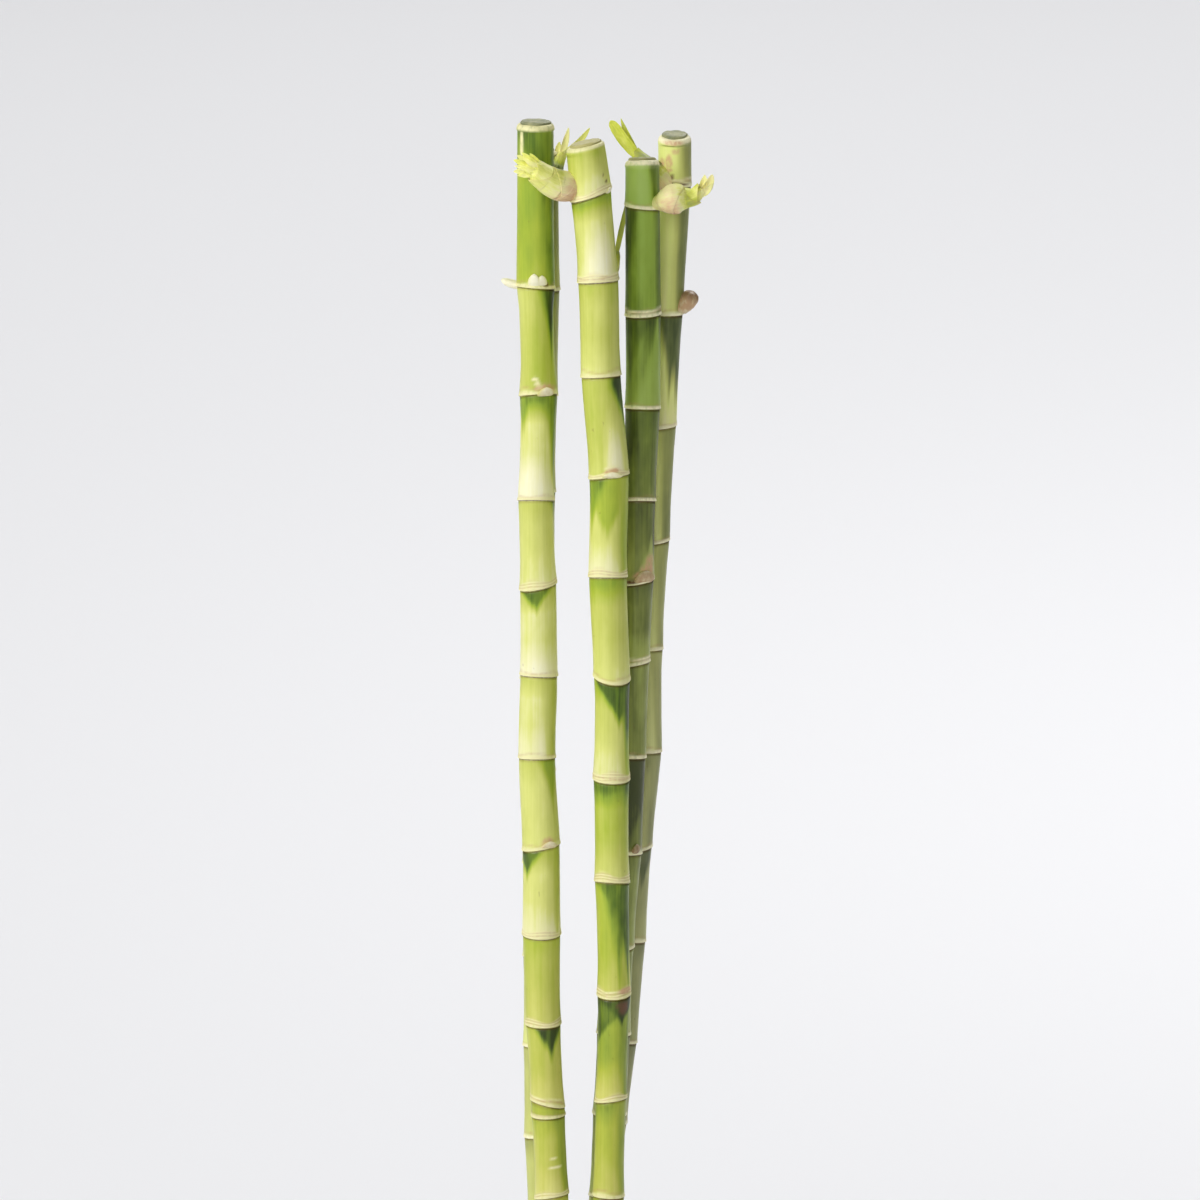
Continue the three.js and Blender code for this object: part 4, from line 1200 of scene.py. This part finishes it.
# Colours from cream to the darkest green, by tone, and those of the shoots by tint.
BRIGHT_TONES = [
    (0.0, (250, 248, 216)), (0.12, (243, 240, 188)), (0.32, (220, 223, 126)), (0.5, (198, 204, 96)),
    (0.66, (174, 190, 60)), (0.8, (144, 168, 50)), (0.92, (90, 117, 29)), (1.0, (52, 70, 17)),
]
DARK_TONES = [
    (0.0, (236, 228, 184)), (0.3, (202, 208, 126)), (0.6, (176, 204, 104)), (0.78, (162, 192, 82)),
    (0.86, (146, 173, 64)), (0.93, (107, 130, 38)), (1.0, (62, 79, 20)),
]
PALE_TONES = [
    (0.0, (244, 238, 196)), (0.12, (240, 240, 160)), (0.25, (230, 236, 142)), (0.45, (208, 212, 122)),
    (0.6, (186, 190, 104)), (0.8, (146, 152, 86)), (0.95, (98, 110, 58)), (1.0, (76, 88, 45)),
]
SHOOT_TINTS = [
    (0.0, (216, 172, 130)), (0.12, (238, 200, 154)), (0.28, (250, 236, 170)), (0.42, (250, 246, 166)),
    (0.54, (240, 240, 130)), (0.7, (206, 214, 78)), (0.8, (182, 190, 96)), (0.9, (176, 184, 122)),
    (1.0, (104, 118, 62)),
]
GRAIN_MIDDLE = (0.3, 0.7)  # noise lies mostly between these

# Noises: waves to the millimetre across the grain twice and along it, detail and roughness.
FIBRES = ((1.3, 1.3, 0.034), 3.0, 0.6)
STREAKS = ((0.42, 0.42, 0.014), 2.0, 0.5)
MOTTLING = ((0.14, 0.14, 0.06), 3.0, 0.55)
RAGGED_EDGES = ((0.9, 0.9, 0.5), 2.0, 0.5)
SPECKS = ((0.7, 0.7, 0.4), 1.0, 0.4)
VEINS = ((1.6, 1.6, 0.12), 3.0, 0.6)
SHOOT_MOTTLING = ((0.45, 0.45, 0.2), 3.0, 0.6)
WAX_CLOUDS = ((0.26, 0.26, 0.26), 3.0, 0.6)
WAX_GRAIN = ((1.1, 1.1, 1.1), 3.0, 0.6)

# Noise that makes a layer uneven: from and to, and how strong the layer is there.
WORN = {"cream": (0.3, 0.6, 0.7, 1.1), "blush": (0.35, 0.65, 0.5, 1.2), "scar": (0.3, 0.7, 0.75, 1.2)}
SPECK_RANGE = (0.77, 0.84, 0.0, 0.3)
CLOUD_RANGE = (0.35, 0.65, 0, 1)
TONE_NOISE = (0.03, 0.04, 0.06)  # how much fibres, streaks and mottling change the tone
SKIN_ROUGHNESS = (0.34, 0.48)
CREAM_ROUGHNESS = 0.15  # how much rougher pale skin is


class Shader:
    """A material's node tree, with short ways to add and join its nodes."""

    def __init__(self, name, **sockets):
        self.material = bpy.data.materials.new(name)
        self.material.use_nodes = True
        self.nodes = self.material.node_tree.nodes
        self.links = self.material.node_tree.links
        self.set(**sockets)

    def set(self, **sockets):
        """Sockets of the surface, as numbers, colours or links."""
        for name, value in sockets.items():
            self.feed(self.nodes["Principled BSDF"].inputs[name.replace("_", " ")], value)

    def node(self, kind, inputs=None, **settings):
        made = self.nodes.new(kind)
        for name, value in settings.items():
            setattr(made, name, value)
        for name, value in (inputs or {}).items():
            self.feed(made.inputs[name], value)
        return made

    def feed(self, socket, value):
        if isinstance(value, bpy.types.NodeSocket):
            self.links.new(value, socket)
        else:
            socket.default_value = value

    def value(self, name):
        return self.node("ShaderNodeAttribute", attribute_name=name).outputs["Fac"]

    def math(self, operation, a, b, clamp=False):
        made = self.node("ShaderNodeMath", operation=operation, use_clamp=clamp)
        self.feed(made.inputs[0], a)
        self.feed(made.inputs[1], b)
        return made.outputs[0]

    def mix(self, factor, a, b):
        made = self.node("ShaderNodeMix", data_type="RGBA")
        for socket, value in ((0, factor), (6, a), (7, b)):
            self.feed(made.inputs[socket], value)
        return made.outputs[2]

    def ramp(self, factor, stops):
        made = self.node("ShaderNodeValToRGB", {"Fac": factor})
        elements = made.color_ramp.elements
        while len(elements) < len(stops):
            elements.new(1.0)
        for element, (at, colour) in zip(elements, stops):
            element.position = at
            element.color = linear(*colour)
        return made.outputs["Color"]

    def noise(self, scale, detail, roughness):
        """Noise over the mesh's grain."""
        grain = self.node("ShaderNodeAttribute", attribute_name="grain").outputs["Vector"]
        where = self.node("ShaderNodeMapping", {"Vector": grain, "Scale": scale}).outputs["Vector"]
        inputs = {"Vector": where, "Scale": 1.0, "Detail": detail, "Roughness": roughness}
        return self.node("ShaderNodeTexNoise", inputs).outputs["Fac"]

    def remap(self, value, low, high, to_low, to_high):
        made = self.node("ShaderNodeMapRange")
        for socket, each in zip(made.inputs, (value, low, high, to_low, to_high)):
            self.feed(socket, each)
        return made.outputs[0]

    def vary(self, value, noise, amount, clamp=False):
        """A value with noise added, up to an amount either way."""
        return self.math("ADD", value, self.remap(noise, *GRAIN_MIDDLE, -amount, amount), clamp)

    def worn(self, name, noise):
        """A value of the mesh, made uneven by noise."""
        return self.math("MULTIPLY", self.value(name), self.remap(noise, *WORN[name]), clamp=True)

    def bump(self, height, strength, distance, **normal):
        inputs = {"Height": height, "Strength": strength, "Distance": distance, **normal}
        return self.node("ShaderNodeBump", inputs).outputs["Normal"]


def cane_skin(name, tones, ring_colour, contrast, dull_hue, dull_saturation):
    """Satin skin of a cane: tone with painted shade on its right side, rings, buds, scars with painted shade
    under the lips, and a painted highlight, by attribute, with fibres, mottling and specks.
    """
    shader = Shader(name, Specular_IOR_Level=0.34, Coat_Weight=0.05, Coat_Roughness=0.2)
    fibres, mottling = shader.noise(*FIBRES), shader.noise(*MOTTLING)
    of_fibres, of_streaks, of_mottling = (share * contrast for share in TONE_NOISE)
    tone = shader.vary(shader.value("tone"), fibres, of_fibres)
    tone = shader.vary(tone, shader.noise(*STREAKS), of_streaks)
    tone = shader.vary(tone, mottling, of_mottling, clamp=True)
    dulled = {"Fac": shader.value("dull"), "Color": shader.ramp(tone, tones)}
    dulled |= {"Hue": dull_hue, "Saturation": dull_saturation}
    colour = shader.node("ShaderNodeHueSaturation", dulled).outputs["Color"]
    ragged = shader.noise(*RAGGED_EDGES)
    # Cream of rings, rims and scratches, and the painted highlight on front_left.
    cream = shader.worn("cream", ragged)
    colour = shader.mix(cream, colour, ring_colour)
    colour = shader.mix(shader.worn("blush", ragged), colour, PINK_TAN)
    # Brown of scars and buds, and the painted shade under the lips.
    colour = shader.mix(shader.worn("scar", ragged), colour, BROWN)
    colour = shader.mix(shader.remap(shader.noise(*SPECKS), *SPECK_RANGE), colour, BROWN)
    rough = shader.remap(mottling, *GRAIN_MIDDLE, *SKIN_ROUGHNESS)
    normal = shader.bump(fibres, strength=0.35, distance=0.00012)
    shader.set(
        Base_Color=colour,
        Roughness=shader.math("ADD", rough, shader.math("MULTIPLY", cream, CREAM_ROUGHNESS)),
        Normal=shader.bump(mottling, strength=0.25, distance=0.0004, Normal=normal),
    )
    return shader.material


def young_skin():
    """Soft skin of the shoots: sheaths with fine veins and papery edges."""
    shader = Shader(
        "young_shoot_skin", Roughness=0.5, Specular_IOR_Level=0.35, Subsurface_Weight=0.15,
        Subsurface_Scale=0.0015, Subsurface_Radius=(1.0, 0.8, 0.3),
    )
    veins = shader.noise(*VEINS)
    tint = shader.vary(shader.value("tint"), shader.noise(*SHOOT_MOTTLING), 0.08)
    colour = shader.ramp(shader.vary(tint, veins, 0.06, clamp=True), SHOOT_TINTS)
    colour = shader.mix(shader.math("MULTIPLY", shader.value("edge"), 0.3), colour, PINK_TAN)
    shader.set(Base_Color=colour, Normal=shader.bump(veins, strength=0.45, distance=0.0003))
    return shader.material


def wax():
    """Grey green sealing wax, satin, with small pits."""
    shader = Shader("sealing_wax", Roughness=0.42, Specular_IOR_Level=0.4)
    clouds = shader.remap(shader.noise(*WAX_CLOUDS), *CLOUD_RANGE)
    colour = shader.mix(shader.value("tan"), shader.mix(clouds, DARK_WAX, LIGHT_WAX), TAN_WAX)
    pits = shader.bump(shader.noise(*WAX_GRAIN), strength=0.5, distance=0.0003)
    shader.set(Base_Color=colour, Normal=pits)
    return shader.material


def clear(name, colour, roughness, index):
    """A clear material with its refractive index."""
    return Shader(name, Base_Color=colour, Roughness=roughness, IOR=index, Transmission_Weight=1.0).material


# The studio.


def floor():
    shader = Shader("studio_floor", Base_Color=FLOOR_GREY, Roughness=0.7, Specular_IOR_Level=0.2)
    corners = [(x * FLOOR_REACH, y * FLOOR_REACH, 0) for x, y in ((-1, -1), (1, -1), (1, 1), (-1, 1))]
    mesh = bpy.data.meshes.new("studio_floor")
    mesh.from_pydata(corners, [], [(0, 1, 2, 3)])
    mesh.materials.append(shader.material)
    piece = add_object("studio_floor", mesh)


def aim(thing, place, target):
    """Puts a camera or lamp at place, looking at target."""
    thing.location = place
    thing.rotation_euler = (Vector(target) - Vector(place)).to_track_quat("-Z", "Y").to_euler()


def studio():
    floor()
    world = bpy.data.worlds.new("studio")
    world.use_nodes = True
    sky = world.node_tree.nodes["Background"]
    sky.inputs["Color"].default_value = SKY
    sky.inputs["Strength"].default_value = SKY_STRENGTH
    bpy.context.scene.world = world
    for name, place, target, size, power in LAMPS:
        data = bpy.data.lights.new(name, "AREA")
        data.shape = "RECTANGLE"
        data.size, data.size_y = size
        data.energy = power
        aim(add_object(name, data), place, target)


def camera():
    data = bpy.data.cameras.new("camera")
    data.sensor_width = SENSOR
    data.lens = SENSOR * VIEW_DISTANCE / FRAME_WIDTH
    data.clip_start, data.clip_end = CLIP
    made = add_object("camera", data)
    lift = math.radians(VIEW_ELEVATION)
    away = np.array([0, -math.cos(lift), math.sin(lift)]) * VIEW_DISTANCE
    aim(made, np.array(VIEW_TARGET) + away, VIEW_TARGET)
    bpy.context.scene.camera = made


camera()
studio()
SKINS = {
    "bright_cane": cane_skin("bright_cane_skin", BRIGHT_TONES, RING_CREAM, 1, 0.486, 0.98),
    "dark_cane": cane_skin("dark_cane_skin", DARK_TONES, PALE_RING_CREAM, 0.5, 0.47, 0.86),
    "pale_cane": cane_skin("pale_cane_skin", PALE_TONES, PALE_RING_CREAM, 0.8, 0.493, 0.8),
}
WAX = wax()
YOUNG = young_skin()
for place, cane in CANES.items():
    fine_cane(place, SKINS[cane.slot])
    fine_seal(place, WAX)
for name in SHOOTS:
    fine_shoot(name, YOUNG)
fine_vase(clear("clear_glass", GLASS_TINT, 0.01, 1.5))
fine_water(clear("clear_water", WATER_TINT, 0.0, 1.333))
bpy.context.scene.view_settings.view_transform = "Standard"
